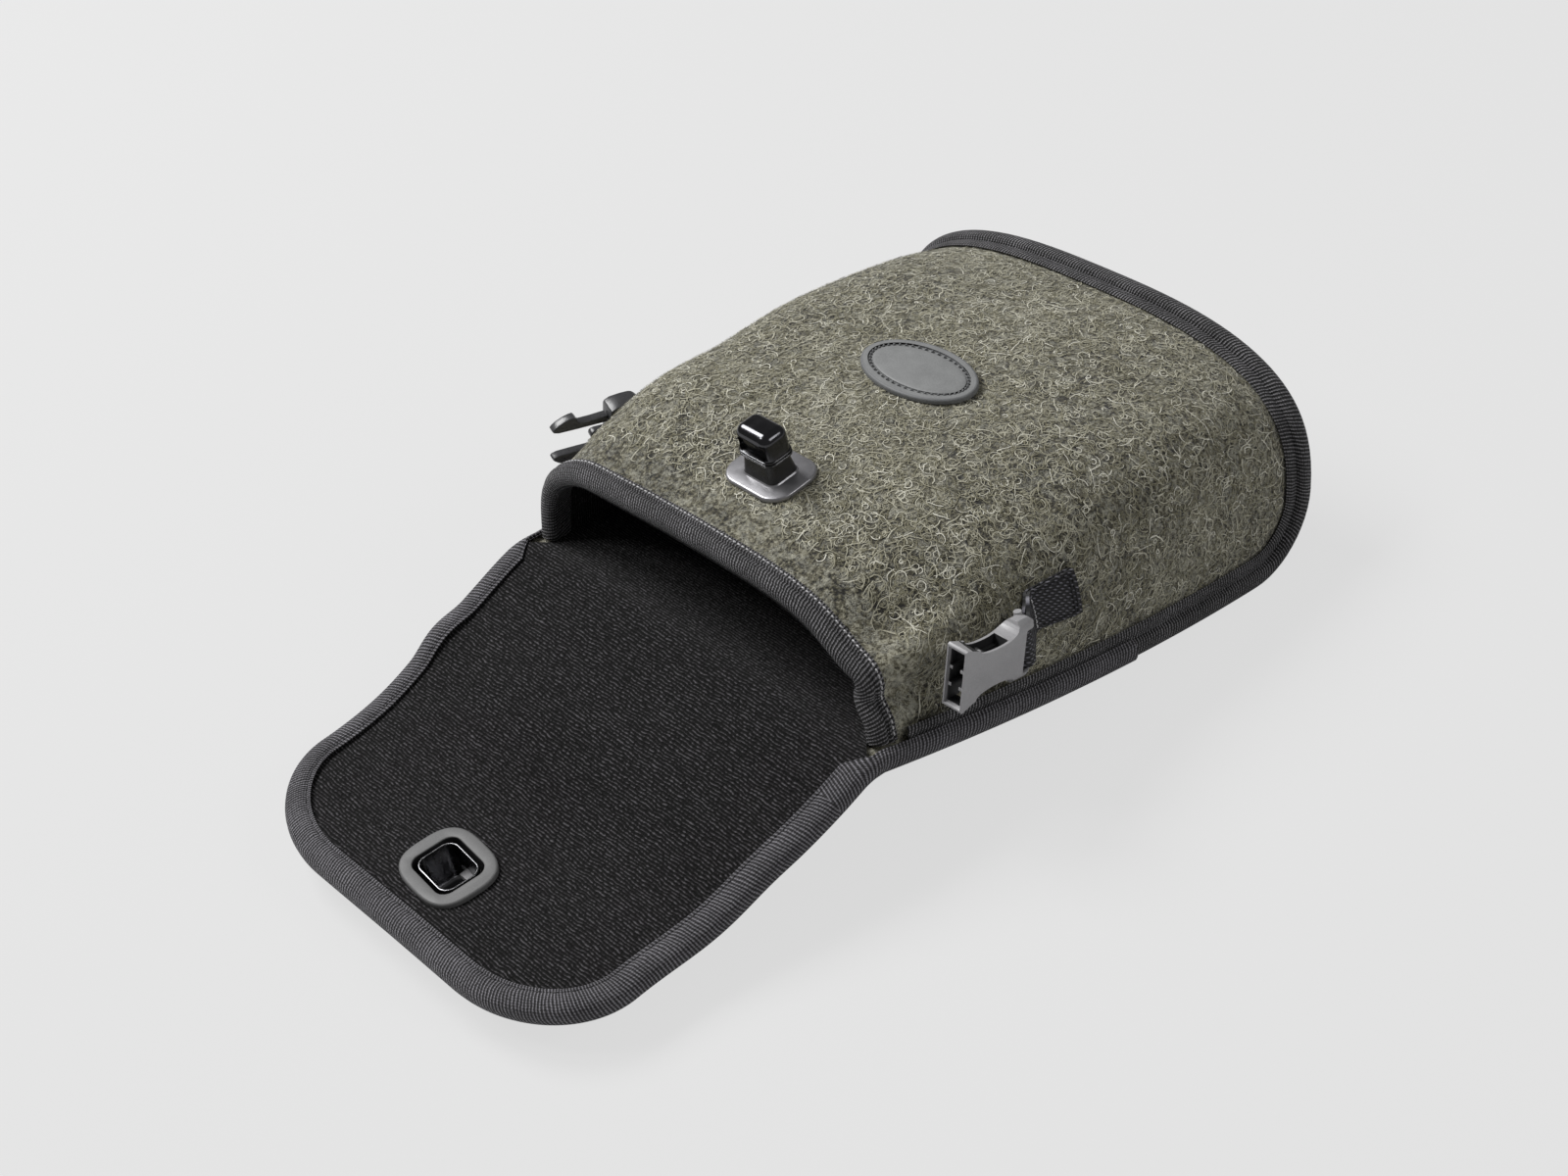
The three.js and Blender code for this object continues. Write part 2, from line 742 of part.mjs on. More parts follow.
function backingPlate() {
  const high = -(feltThickness + liningThickness + 2 * fitGap);
  const plate = roundedPlate(
    basePlateWidth, basePlateLength, basePlateCorner, high - backingPlateThickness, high,
  );
  return cut(plate, ...[-1, 1].map((side) => (
    peg(rivetRadius + fitGap, 2 * high, 0).translate(side * rivetSpacing / 2, 0, 0)
  )));
}

// Strap tab: webbing sewn to the side and looped round the buckle's bar
function strapTab() {
  const loop = buckleBarRadius + fitGap;
  const around = loop + webbingThickness;
  const back = fitGap;
  const front = fitGap + 2 * webbingThickness;
  const leave = Math.asin((front - buckleBarOut) / around);
  const shape = new THREE.Shape();
  shape.moveTo(strapTabLength, back);
  shape.lineTo(strapTabLength, front);
  shape.lineTo(around * Math.cos(leave), front);
  shape.absarc(0, buckleBarOut, around, leave, Math.PI * 1.5, false);
  shape.lineTo(around, back);
  const hole = new THREE.Path();
  hole.absarc(0, buckleBarOut, loop, 0, 2 * Math.PI, true);
  shape.holes.push(hole);
  const geometry = new THREE.ExtrudeGeometry(shape, {
    depth: strapWidth, bevelEnabled: false, curveSegments: 12,
  });
  return geometry.translate(0, 0, -strapWidth / 2);
}

// Buckle halves, with the bar on the z axis and the length along -x
const slotHalf = strapWidth / 2 + buckleSideClearance;
const slotReach = buckleBarRadius + 2 * fitGap + webbingThickness + fitGap;

function buckleBar() {
  return peg(buckleBarRadius, -slotHalf - 1, slotHalf + 1);
}

function buckleSlot() {
  return block([-slotReach, 2 * slotReach], [-buckleThickness, buckleThickness], [-slotHalf, slotHalf]);
}

// An outline in x and z, extruded through a thickness along y
function buckleProfile(points, thickness) {
  const shape = new THREE.Shape(points.map(([x, z]) => new THREE.Vector2(x, -z)));
  const geometry = new THREE.ExtrudeGeometry(shape, { depth: thickness, bevelEnabled: false });
  return geometry.rotateX(-Math.PI / 2).translate(0, -thickness / 2, 0);
}

function buckleSocket() {
  const [wide, waist] = [buckleWidth / 2, buckleWaist / 2];
  const [mouth, band] = [-socketLength, -socketLength + socketMouthBand];
  const middle = (band - buckleBarEnd) / 2;
  const edge = [[buckleBarRadius, wide - buckleEndTaper], [-buckleBarEnd / 2, wide]];
  const waistLength = (-buckleBarEnd - band) / 2;
  for (let i = 0; i <= 6; i++) {
    const turn = Math.PI * (i / 6);
    edge.push([
      middle + waistLength * Math.cos(turn),
      waist + (wide - waist) * (1 - Math.sin(turn)) * 0.9,
    ]);
  }
  edge.push([band - 0.5, wide], [mouth, wide]);
  const outline = [...edge, ...edge.map(([x, z]) => [x, -z]).reverse()];
  const inside = buckleThickness / 2 - socketWall;
  const cavity = block(
    [mouth - 1, -buckleBarEnd - 1],
    [-inside, inside],
    [-wide + 2 * socketWall, wide - 2 * socketWall],
  );
  return join(cut(buckleProfile(outline, buckleThickness), cavity, buckleSlot()), buckleBar());
}

function buckleFork() {
  const wide = buckleWidth / 2;
  const shoulder = -forkShoulder;
  const outer = wide - buckleEndTaper;
  const inner = wide - forkShoulderTaper;
  const outline = [
    [buckleBarRadius, outer], [-buckleBarEnd / 2, wide], [shoulder, inner],
    [shoulder, -inner], [-buckleBarEnd / 2, -wide], [buckleBarRadius, -outer],
  ];
  const body = cut(buckleProfile(outline, buckleThickness), buckleSlot());
  const guide = block(
    [shoulder - guideLength, shoulder + guideRoot],
    [-prongThickness / 2, prongThickness / 2],
    [-guideWidth / 2, guideWidth / 2],
  );
  return join(body, buckleBar(), guide);
}

// A prong from its root at the origin, with its barb on the side away from the guide
function prong(side) {
  const [half, tip] = [prongWidth / 2, -forkProngLength];
  const barb = tip + prongTipLength;
  const slant = tip + prongTipSlant;
  const points = [
    [0, -half], [0, half], [barb, half], [barb, half + prongTipWidth - prongWidth],
    [slant, half + prongTipRise], [tip, half - prongTipRise], [tip, 0], [slant, -half],
  ];
  return buckleProfile(points.map(([x, z]) => [x, side * z]), prongThickness);
}

// Flap pieces

const tapeCover = tapeThickness + fitGap;
const flapTape = foldedTape(
  0, stackTop + fitGap + tapeThickness, -feltThickness - fitGap - tapeThickness,
  flapTapeLeg, flapTapeLeg,
);
const topStart = flapTopFoldStation + fitGap / 2;
const topEnd = flapFrontFoldStation - fitGap / 2;
const frontStart = flapFrontFoldStation + fitGap / 2;

function flapTopTape(side) {
  const line = flapLine(topStart, topEnd, 6);
  return tapeAlong(side > 0 ? line : mirroredLine(line), flapTape);
}

function flapFrontTape() {
  const half = flapLine(frontStart, flapLength, 9);
  const { y, z, up } = flapSpot(flapLength);
  const { out } = half[half.length - 1];
  out.setX(0).normalize();
  return tapeAlong(bothSides([...half, { point: new THREE.Vector3(0, y, z), up, out }]), flapTape);
}

// The lock's frame in the flap: x across, y towards the mouth, z out of the lining
function onFlap(s) {
  const { y, z, up } = flapSpot(s);
  const group = new THREE.Group();
  group.position.set(0, y, z);
  group.rotation.x = Math.atan2(-up.y, up.z);
  return group;
}

function lockHole() {
  const group = onFlap(lockStation);
  group.updateMatrix();
  const grow = 2 * (frameCollarWall + fitGap);
  return roundedPlate(
    frameHoleWidth + grow, frameHoleLength + grow, frameHoleCorner + grow / 2,
    -2 * feltThickness, feltThickness,
  ).applyMatrix4(group.matrix);
}

function lockFrame() {
  const flange = roundedPlate(
    frameWidth, frameLength, frameCorner, frameFace - frameThickness, frameFace,
  );
  const around = 2 * frameCollarWall;
  const collar = roundedPlate(
    frameHoleWidth + around, frameHoleLength + around, frameHoleCorner + frameCollarWall,
    housingTop + fitGap, frameFace - frameThickness / 2,
  );
  const hole = roundedPlate(
    frameHoleWidth, frameHoleLength, frameHoleCorner, housingFloor, 2 * frameFace,
  );
  return cut(join(flange, collar), hole);
}

function lockCup() {
  const rim = frameFace - cupRimBelowFrame;
  const outside = roundedPlate(
    cupWidth + 2 * cupWall, cupLength + 2 * cupWall, cupCorner + cupWall, cupFloor - cupWall, rim,
  );
  const inside = roundedPlate(cupWidth, cupLength, cupCorner, cupFloor, rim + 1);
  const wide = latchNoseWidth / 2 + fitGap;
  const slot = block(
    [-wide, wide],
    [0, cupLength / 2 + 2 * cupWall],
    [latchMiddle - latchThickness / 2 - fitGap, latchMiddle + latchThickness / 2 + fitGap],
  );
  return cut(outside, inside, slot);
}

function lockHousing() {
  const outside = roundedPlate(
    housingWidth, housingLength, housingCorner, housingFloor - housingWall, housingTop,
  );
  const hollow = 2 * housingWall;
  const inside = roundedPlate(
    housingWidth - hollow, housingLength - hollow, housingCorner - housingWall,
    housingFloor, housingTop + 1,
  );
  const [wide, tall] = [buttonWidth / 2 + fitGap, buttonHeight / 2 + fitGap];
  const window = block(
    [-wide, wide], [-housingLength, 0], [latchMiddle - tall, latchMiddle + tall],
  );
  return cut(outside, inside, window);
}

// The latch is a ring round the cup, with a nose on its mouth side
const cupHalf = cupLength / 2 + cupWall;
const latchNear = -cupHalf - fitGap - pressTravel;
const latchFar = cupHalf + fitGap;

function latchSlide() {
  const thick = [latchMiddle - latchThickness / 2, latchMiddle + latchThickness / 2];
  const side = cupWidth / 2 + cupWall + fitGap;
  const ring = block([-side - latchBar, side + latchBar], [latchNear - latchBar, latchFar + latchBar], thick);
  const window = block([-side, side], [latchNear, latchFar], [thick[0] - 1, thick[1] + 1]);
  const nose = block(
    [-latchNoseWidth / 2, latchNoseWidth / 2],
    [headLength / 2 - latchEngagement, latchFar + latchBar / 2],
    thick,
  );
  return join(cut(ring, window), nose);
}

function releaseButton() {
  return block(
    [-buttonWidth / 2, buttonWidth / 2],
    [-housingLength / 2 - buttonProud, latchNear - latchBar - fitGap],
    [latchMiddle - buttonHeight / 2, latchMiddle + buttonHeight / 2],
  );
}

// Assembly

const pouch = new THREE.Group();
pouch.add(
  mesh('front_shell', frontShell(), felt),
  mesh('front_lining', frontLining(), knit),
  mesh('back_panel', backLayer(seamAllowance, -feltThickness, 0), felt),
  mesh('back_lining', backLayer(-feltThickness - fitGap, fitGap, stackTop), knit),
  mesh('seam_binding', seamTape(), grosgrain),
  mesh('mouth_binding', mouthTape(), grosgrain),
  mesh('flap_binding_tail_right', flapTapeTail(1), grosgrain),
  mesh('flap_binding_tail_left', flapTapeTail(-1), grosgrain),
);

const post = onFront(postStation);
post.add(
  mesh('lock_post_base', postStem(), satinPlastic),
  mesh('lock_post_head', postHead(), blackPlastic),
  mesh('lock_backing_plate', backingPlate(), steel),
);
for (const [name, side] of [['lock_rivet_right', 1], ['lock_rivet_left', -1]]) {
  const piece = mesh(name, rivet(), steel);
  piece.position.x = side * rivetSpacing / 2;
  post.add(piece);
}
const badgeSeat = onFront(badgeStation);
badgeSeat.add(mesh('badge', badge(), badgeRubber));
pouch.add(post, badgeSeat);

for (const [name, side] of [['right', 1], ['left', -1]]) {
  const strap = onSide(side);
  strap.add(mesh(`${name}_strap_tab`, strapTab(), webbing));
  const swing = new THREE.Group();
  swing.name = `${name}_swing`;
  swing.position.y = buckleBarOut;
  if (side > 0) {
    swing.rotation.z = -THREE.MathUtils.degToRad(socketRestAngle);
    swing.add(mesh('right_buckle_socket', buckleSocket(), bucklePlastic));
  } else {
    swing.rotation.z = -THREE.MathUtils.degToRad(forkRestAngle);
    swing.add(mesh('left_buckle_fork', buckleFork(), bucklePlastic));
    for (const [level, up] of [['upper', 1], ['lower', -1]]) {
      const flex = new THREE.Group();
      flex.name = `prong_${level}_flex`;
      flex.position.set(-forkShoulder - fitGap, 0, up * prongSpacing / 2);
      flex.add(mesh(`left_buckle_prong_${level}`, prong(up), bucklePlastic));
      swing.add(flex);
    }
  }
  strap.add(swing);
  pouch.add(strap);
}

// The folds lie just above the tape on the inside, so the pieces part as they fold
const foldHeight = stackTop + fitGap + tapeThickness + fitGap / 2;

function foldLine(name, s) {
  const { y, z, up } = flapSpot(s);
  const group = new THREE.Group();
  group.name = name;
  group.position.set(0, y, z).addScaledVector(up, foldHeight);
  return group;
}

const flap = new THREE.Group();
flap.add(
  mesh('flap_top_felt', flapLayer(topStart, topEnd, tapeCover, -feltThickness, 0, 6), felt),
  mesh('flap_top_lining', flapLayer(topStart, topEnd, tapeCover, fitGap, stackTop, 6), knit),
  mesh('flap_top_binding_right', flapTopTape(1), grosgrain),
  mesh('flap_top_binding_left', flapTopTape(-1), grosgrain),
  mesh(
    'flap_front_felt',
    cut(flapLayer(frontStart, flapLength, tapeCover, -feltThickness, 0, 9), lockHole()),
    felt,
  ),
  mesh(
    'flap_front_lining',
    cut(flapLayer(frontStart, flapLength, tapeCover, fitGap, stackTop, 9), lockHole()),
    knit,
  ),
  mesh('flap_front_binding', flapFrontTape(), grosgrain),
);

const flapLock = onFlap(lockStation);
flapLock.name = 'flap_lock';
flapLock.add(
  mesh('lock_frame', lockFrame(), greyPlastic),
  mesh('lock_cup', lockCup(), blackPlastic),
  mesh('lock_housing', lockHousing(), satinPlastic),
  mesh('latch_slide', latchSlide(), greyPlastic),
  mesh('release_button', releaseButton(), blackPlastic),
);
flap.add(flapLock);

const folds = new THREE.Group();
folds.add(
  foldLine('flap_top_fold', flapTopFoldStation),
  foldLine('flap_front_fold', flapFrontFoldStation),
);

// Rest pose: the tilt at which the pouch and the flap reach down equally far
const body = new THREE.Group();
body.add(pouch, flap, folds);

function lowest(group, tilt) {
  body.rotation.x = -tilt;
  body.updateMatrixWorld(true);
  const spot = new THREE.Vector3();
  let low = Infinity;
  group.traverse((piece) => {
    if (!piece.isMesh) return;
    const place = piece.geometry.attributes.position;
    for (let i = 0; i < place.count; i++) {
      spot.fromBufferAttribute(place, i).applyMatrix4(piece.matrixWorld);
      low = Math.min(low, spot.z);
    }
  });
  return low;
}

let [flat, steep] = [0, Math.PI / 4];
for (let i = 0; i < 24; i++) {
  const tilt = (flat + steep) / 2;
  if (lowest(pouch, tilt) > lowest(flap, tilt)) flat = tilt;
  else steep = tilt;
}
body.position.z = -lowest(pouch, flat);
body.updateMatrixWorld(true);
const bounds = new THREE.Box3().setFromObject(body, true);
body.position.x = -(bounds.min.x + bounds.max.x) / 2;
body.position.y = -(bounds.min.y + bounds.max.y) / 2;

const part = new THREE.Group();
part.add(body);
part.updateMatrixWorld(true);

export default part;
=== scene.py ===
# %% [markdown]
# A pouch for binoculars lies open on its back on a pale floor, and this file dresses its
# measured frame with the felt, tape, webbing and moulded pieces of the real one.
# Everything is drawn in millimetres in the pouch's own axes: x across, y from the mouth
# to the closed end, z out of the back. One function then tilts it onto the floor.

# %% Imports and the frame
import math

import bmesh
import bpy
import numpy as np
from mathutils import Matrix, Vector
from mathutils.bvhtree import BVHTree
from mathutils.kdtree import KDTree


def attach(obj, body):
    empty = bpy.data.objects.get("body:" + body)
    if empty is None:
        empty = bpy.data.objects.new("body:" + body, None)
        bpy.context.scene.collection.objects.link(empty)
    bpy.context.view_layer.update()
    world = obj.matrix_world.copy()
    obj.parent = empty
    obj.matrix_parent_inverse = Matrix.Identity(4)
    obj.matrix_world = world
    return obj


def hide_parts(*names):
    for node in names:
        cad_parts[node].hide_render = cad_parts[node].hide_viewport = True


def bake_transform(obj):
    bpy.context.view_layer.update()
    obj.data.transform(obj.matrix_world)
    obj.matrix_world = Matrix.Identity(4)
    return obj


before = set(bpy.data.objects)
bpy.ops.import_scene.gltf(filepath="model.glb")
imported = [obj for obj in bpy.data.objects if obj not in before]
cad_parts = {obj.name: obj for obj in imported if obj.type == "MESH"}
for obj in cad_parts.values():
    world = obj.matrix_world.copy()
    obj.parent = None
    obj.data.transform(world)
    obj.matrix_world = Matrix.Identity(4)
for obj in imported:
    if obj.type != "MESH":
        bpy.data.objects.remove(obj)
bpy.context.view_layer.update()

# %% From the pouch's axes to the floor
TILT = math.radians(-10.928)
PLACE = np.array([2.587, -28.831, 31.133])


def settled(points):
    """Points in millimetres in the pouch's axes, as metres on the floor."""
    p = np.asarray(points, float).reshape(-1, 3)
    c, s = math.cos(TILT), math.sin(TILT)
    turned = np.stack([p[:, 0], c * p[:, 1] - s * p[:, 2], s * p[:, 1] + c * p[:, 2]], 1)
    return (turned + PLACE) / 1000


def unsettled(points):
    """Points in millimetres on the floor, in the pouch's axes."""
    p = np.asarray(points, float).reshape(-1, 3) - PLACE
    c, s = math.cos(TILT), math.sin(TILT)
    return np.stack([p[:, 0], c * p[:, 1] + s * p[:, 2], c * p[:, 2] - s * p[:, 1]], 1)


def settled_matrix(origin, x, y, z):
    """Matrix that carries millimetres of a local set of axes to metres on the floor."""
    m = Matrix.Identity(4)
    for column, axis in enumerate((x, y, z)):
        for row in range(3):
            m[row][column] = axis[row] / 1000
    for row in range(3):
        m[row][3] = origin[row] / 1000
    return m


# %% [markdown]
# The photograph was taken with a longish lens from the mouth's right side, a little
# above. The numbers come from fitting the outline, the corners of the mouth, the lock
# post and the badge, so the render can be laid over the photograph.

# %% Camera
AZIMUTH, ELEVATION, ROLL = 48.540, 32.358, -0.552
DISTANCE, FOCAL_PIXELS = 779.694, 2528.751
TARGET = (-41.17, 69.05, -31.31)


def place_camera():
    az, el = math.radians(AZIMUTH), math.radians(ELEVATION)
    back = np.array([math.sin(az) * math.cos(el), -math.cos(az) * math.cos(el), math.sin(el)])
    spot = settled(np.array(TARGET) + back * DISTANCE)[0]
    aim = settled(TARGET)[0]
    forward = Vector(aim - spot).normalized()
    up_hint = Vector(settled((0, 0, 1))[0] - settled((0, 0, 0))[0]).normalized()
    right = forward.cross(up_hint).normalized()
    up = right.cross(forward)
    roll = math.radians(ROLL)
    right, up = (right * math.cos(roll) + up * math.sin(roll),
                 up * math.cos(roll) - right * math.sin(roll))
    camera = bpy.data.objects.new("camera", bpy.data.cameras.new("camera"))
    bpy.context.scene.collection.objects.link(camera)
    m = Matrix.Identity(4)
    for column, axis in enumerate((right, up, -forward)):
        for row in range(3):
            m[row][column] = axis[row]
    m.translation = Vector(spot)
    camera.matrix_world = m
    camera.data.sensor_width = 36
    camera.data.lens = FOCAL_PIXELS / 1600 * 36
    camera.data.clip_start = 0.01
    bpy.context.scene.camera = camera
    return camera


camera = place_camera()
print("camera at", [round(v, 3) for v in camera.location], "lens", round(camera.data.lens, 2))

# %% Node helpers
def linear(text):
    """A colour written as sRGB hex, as the linear values that a shader works in."""
    values = [int(text[i:i + 2], 16) / 255 for i in (0, 2, 4)]
    return tuple(v / 12.92 if v <= 0.04045 else ((v + 0.055) / 1.055) ** 2.4 for v in values)


def add(tree, kind, links=None, **settings):
    """A shader node with its settings made and its inputs linked."""
    node = tree.nodes.new("ShaderNode" + kind)
    for key, value in settings.items():
        name = key.replace("_", " ")
        if name in node.inputs:
            node.inputs[name].default_value = value
        else:
            setattr(node, key, value)
    for socket, source in (links or {}).items():
        tree.links.new(source, node.inputs[socket])
    return node


def finish(name, **settings):
    """A material whose shader carries the plain values of a finish."""
    material = bpy.data.materials.new(name)
    material.use_nodes = True
    tree = material.node_tree
    for key, value in settings.items():
        tree.nodes["Principled BSDF"].inputs[key.replace("_", " ")].default_value = value
    return material, tree


def surface(tree, colour, height=None, distance=0.0, strength=1.0):
    """Joins a colour, and bumps that are a distance deep in metres, to the shader."""
    shader = tree.nodes["Principled BSDF"]
    tree.links.new(colour, shader.inputs["Base Color"])
    if height is not None:
        bumps = add(tree, "Bump", {"Height": height}, Strength=strength, Distance=distance)
        tree.links.new(bumps.outputs[0], shader.inputs["Normal"])


def blend_colours(tree, share, *stops):
    """Colours written as hex at places from 0 to 1 of a value."""
    ramp = add(tree, "ValToRGB", {"Fac": share})
    elements = ramp.color_ramp.elements
    while len(elements) < len(stops):
        elements.new(0.5)
    for element, (place, colour) in zip(elements, stops):
        element.position = place
        element.color = (*linear(colour), 1)
    return ramp.outputs["Color"]


def combine(tree, operation, first, second=0):
    node = add(tree, "Math", operation=operation)
    for i, value in enumerate((first, second)):
        if isinstance(value, (int, float)):
            node.inputs[i].default_value = value
        else:
            tree.links.new(value, node.inputs[i])
    return node.outputs[0]


def weigh(tree, *terms):
    """The sum of several values, each with its weight."""
    total = None
    for value, weight in terms:
        part = value if weight == 1 else combine(tree, "MULTIPLY", value, weight)
        total = part if total is None else combine(tree, "ADD", total, part)
    return total


def wave(tree, value, pitch):
    """A sine that repeats at a pitch."""
    return combine(tree, "SINE", combine(tree, "MULTIPLY", value, 2 * math.pi / pitch))


# %% Floor, backdrop and lamps
FLOOR_COLOUR = (*linear("e6e6e6"), 1)
FILL_STRENGTH, EVEN_SHARE = 0.17, 0.85


def build_world():
    """The camera sees the backdrop's own colour, and the pieces get a weak white fill."""
    scene = bpy.context.scene
    scene.view_settings.view_transform = "Standard"
    scene.world = bpy.data.worlds.new("studio")
    scene.world.use_nodes = True
    tree = scene.world.node_tree
    tree.nodes.clear()
    seen = add(tree, "Background", Color=FLOOR_COLOUR)
    fill = add(tree, "Background", Color=(1, 1, 1, 1), Strength=FILL_STRENGTH)
    path = add(tree, "LightPath")
    mix = add(tree, "MixShader", {0: path.outputs["Is Camera Ray"], 1: fill.outputs[0],
                                  2: seen.outputs[0]})
    add(tree, "OutputWorld", {0: mix.outputs[0]})


def area_lamp(name, spot, aim, size, power):
    lamp = bpy.data.objects.new(name, bpy.data.lights.new(name, "AREA"))
    lamp.data.shape = "DISK"
    lamp.data.size = size
    lamp.data.energy = power
    lamp.location = spot
    lamp.rotation_euler = (Vector(aim) - Vector(spot)).to_track_quat("-Z", "Y").to_euler()
    bpy.context.scene.collection.objects.link(lamp)


def floor_finish():
    """A matt pale floor that the camera sees more evenly lit than it is."""
    material, tree = finish("pale_floor", Base_Color=(*linear("d9d9d9"), 1), Roughness=0.9,
                            Specular_IOR_Level=0.1)
    even = add(tree, "Emission", Color=FLOOR_COLOUR)
    path = add(tree, "LightPath")
    share = combine(tree, "MULTIPLY", path.outputs["Is Camera Ray"], EVEN_SHARE)
    mix = add(tree, "MixShader", {0: share, 1: tree.nodes["Principled BSDF"].outputs[0],
                                  2: even.outputs[0]})
    tree.links.new(mix.outputs[0], tree.nodes["Material Output"].inputs["Surface"])
    return material


build_world()
area_lamp("key", (-1.1, -0.1, 1.35), (0, 0.02, 0.03), 0.8, 25)
area_lamp("front", (-0.9, -0.8, 1.5), (0, -0.02, 0.03), 0.5, 8)
area_lamp("right", (1.1, 0.5, 0.9), (0, 0.02, 0.03), 0.5, 3.2)
floor_mesh = bpy.data.meshes.new("floor")
floor_mesh.from_pydata([(-3, -3, 0), (3, -3, 0), (3, 3, 0), (-3, 3, 0)], [], [(0, 1, 2, 3)])
floor = bpy.data.objects.new("floor", floor_mesh)
bpy.context.scene.collection.objects.link(floor)
floor.data.materials.append(floor_finish())

# %% [markdown]
# Each finish starts from what the real one is and how it was made. Cloth patterns follow
# the lengths and rest places kept in the meshes, in millimetres, so that a weave stays on
# its cloth when the flap folds. Moulded pieces follow their own coordinates.
#
# Loden felt is wool, woven and then fulled until its fibres mat. The eye sees a dull
# olive grey ground with dark pits and pale, curly single fibres lying over it.

# %% Felt
def kept(tree, name):
    """A value in millimetres that was kept in the mesh."""
    return add(tree, "Attribute", attribute_name=name).outputs["Vector"]


def strands(tree, place, scale, width, seed):
    """Thin curly lines, drawn where a drifting noise crosses its middle value."""
    moved = add(tree, "VectorMath", {0: place}, operation="ADD")
    moved.inputs[1].default_value = (seed, seed * 1.7, seed * 2.3)
    noise = add(tree, "TexNoise", {"Vector": moved.outputs[0]}, Scale=scale, Detail=2.0,
                Roughness=0.55, Distortion=1.2)
    off = combine(tree, "ABSOLUTE", combine(tree, "SUBTRACT", noise.outputs["Fac"], 0.5))
    line = add(tree, "MapRange", {"Value": off}, From_Max=width, To_Min=1.0, To_Max=0.0)
    return line.outputs[0]


def felt_finish():
    material, tree = finish("loden_felt", Roughness=0.95, Sheen_Weight=0.25,
                            Sheen_Roughness=0.6, Specular_IOR_Level=0.2)
    place = kept(tree, "rest")
    fleck = add(tree, "TexNoise", {"Vector": place}, Scale=0.85, Detail=4.0, Roughness=0.7)
    tuft = add(tree, "TexNoise", {"Vector": place}, Scale=0.16, Detail=2.0)
    drift = add(tree, "TexNoise", {"Vector": place}, Scale=0.025, Detail=2.0)
    level = weigh(tree, (fleck.outputs["Fac"], 0.8), (tuft.outputs["Fac"], 0.2),
                  (combine(tree, "SUBTRACT", drift.outputs["Fac"], 0.5), 0.2))
    ground = blend_colours(tree, level, (0.4, "14120a"), (0.46, "494533"), (0.53, "7c7864"),
                           (0.61, "b3b09d"))
    lines = [strands(tree, place, scale, width, seed) for scale, width, seed in
             ((0.32, 0.05, 3.1), (0.42, 0.045, 11.7), (0.58, 0.045, 23.9))]
    gaps = add(tree, "TexNoise", {"Vector": place}, Scale=0.33, Detail=1.0)
    broken = add(tree, "MapRange", {"Value": gaps.outputs["Fac"]}, From_Min=0.46, From_Max=0.56)
    over = combine(tree, "MAXIMUM", combine(tree, "MAXIMUM", lines[0], lines[1]), lines[2])
    over = combine(tree, "MULTIPLY", over, broken.outputs[0])
    colour = add(tree, "Mix", {"Factor": combine(tree, "MULTIPLY", over, 0.8)}, data_type="RGBA")
    tree.links.new(ground, colour.inputs["A"])
    colour.inputs["B"].default_value = (*linear("cfcdbb"), 1)
    surface(tree, colour.outputs["Result"], weigh(tree, (level, 1), (over, 0.3)), 0.0016)
    return material


# %% [markdown]
# The lining is a fine brushed knit. Its courses run across the pouch as rows of short
# dark and light dashes, one millimetre apart, a little coarser than the real ones.

# %% Knit lining
def knit_finish():
    material, tree = finish("brushed_knit", Roughness=0.9, Sheen_Weight=0.05,
                            Sheen_Roughness=0.5, Specular_IOR_Level=0.2)
    lengths = kept(tree, "along")
    axes = add(tree, "SeparateXYZ", {"Vector": lengths})
    wobble = add(tree, "TexNoise", {"Vector": lengths}, Scale=0.2, Detail=2.0)
    course = weigh(tree, (axes.outputs["Y"], 1), (wobble.outputs["Fac"], 1.6))
    row = combine(tree, "FLOOR", course)
    spot = add(tree, "CombineXYZ", {"X": combine(tree, "MULTIPLY", axes.outputs["X"], 0.85),
                                    "Y": combine(tree, "MULTIPLY", row, 3.7)})
    dash = add(tree, "TexNoise", {"Vector": spot.outputs[0]}, Scale=1.0, Detail=1.5)
    fuzz = add(tree, "TexNoise", {"Vector": lengths}, Scale=1.1, Detail=3.0, Roughness=0.7)
    level = weigh(tree, (wave(tree, course, 1.0), 0.19), (dash.outputs["Fac"], 0.6),
                  (fuzz.outputs["Fac"], 0.4))
    colour = blend_colours(tree, level, (0.4, "020202"), (0.52, "0d0c0c"), (0.62, "232122"),
                           (0.78, "5c5a5d"))
    surface(tree, colour, level, 0.0008)
    return material


# %% [markdown]
# Grosgrain ribbon has ribs across its width, made by a thick weft under a fine warp. The
# flap's tape is a paler grey than the black one round mouth and seam.

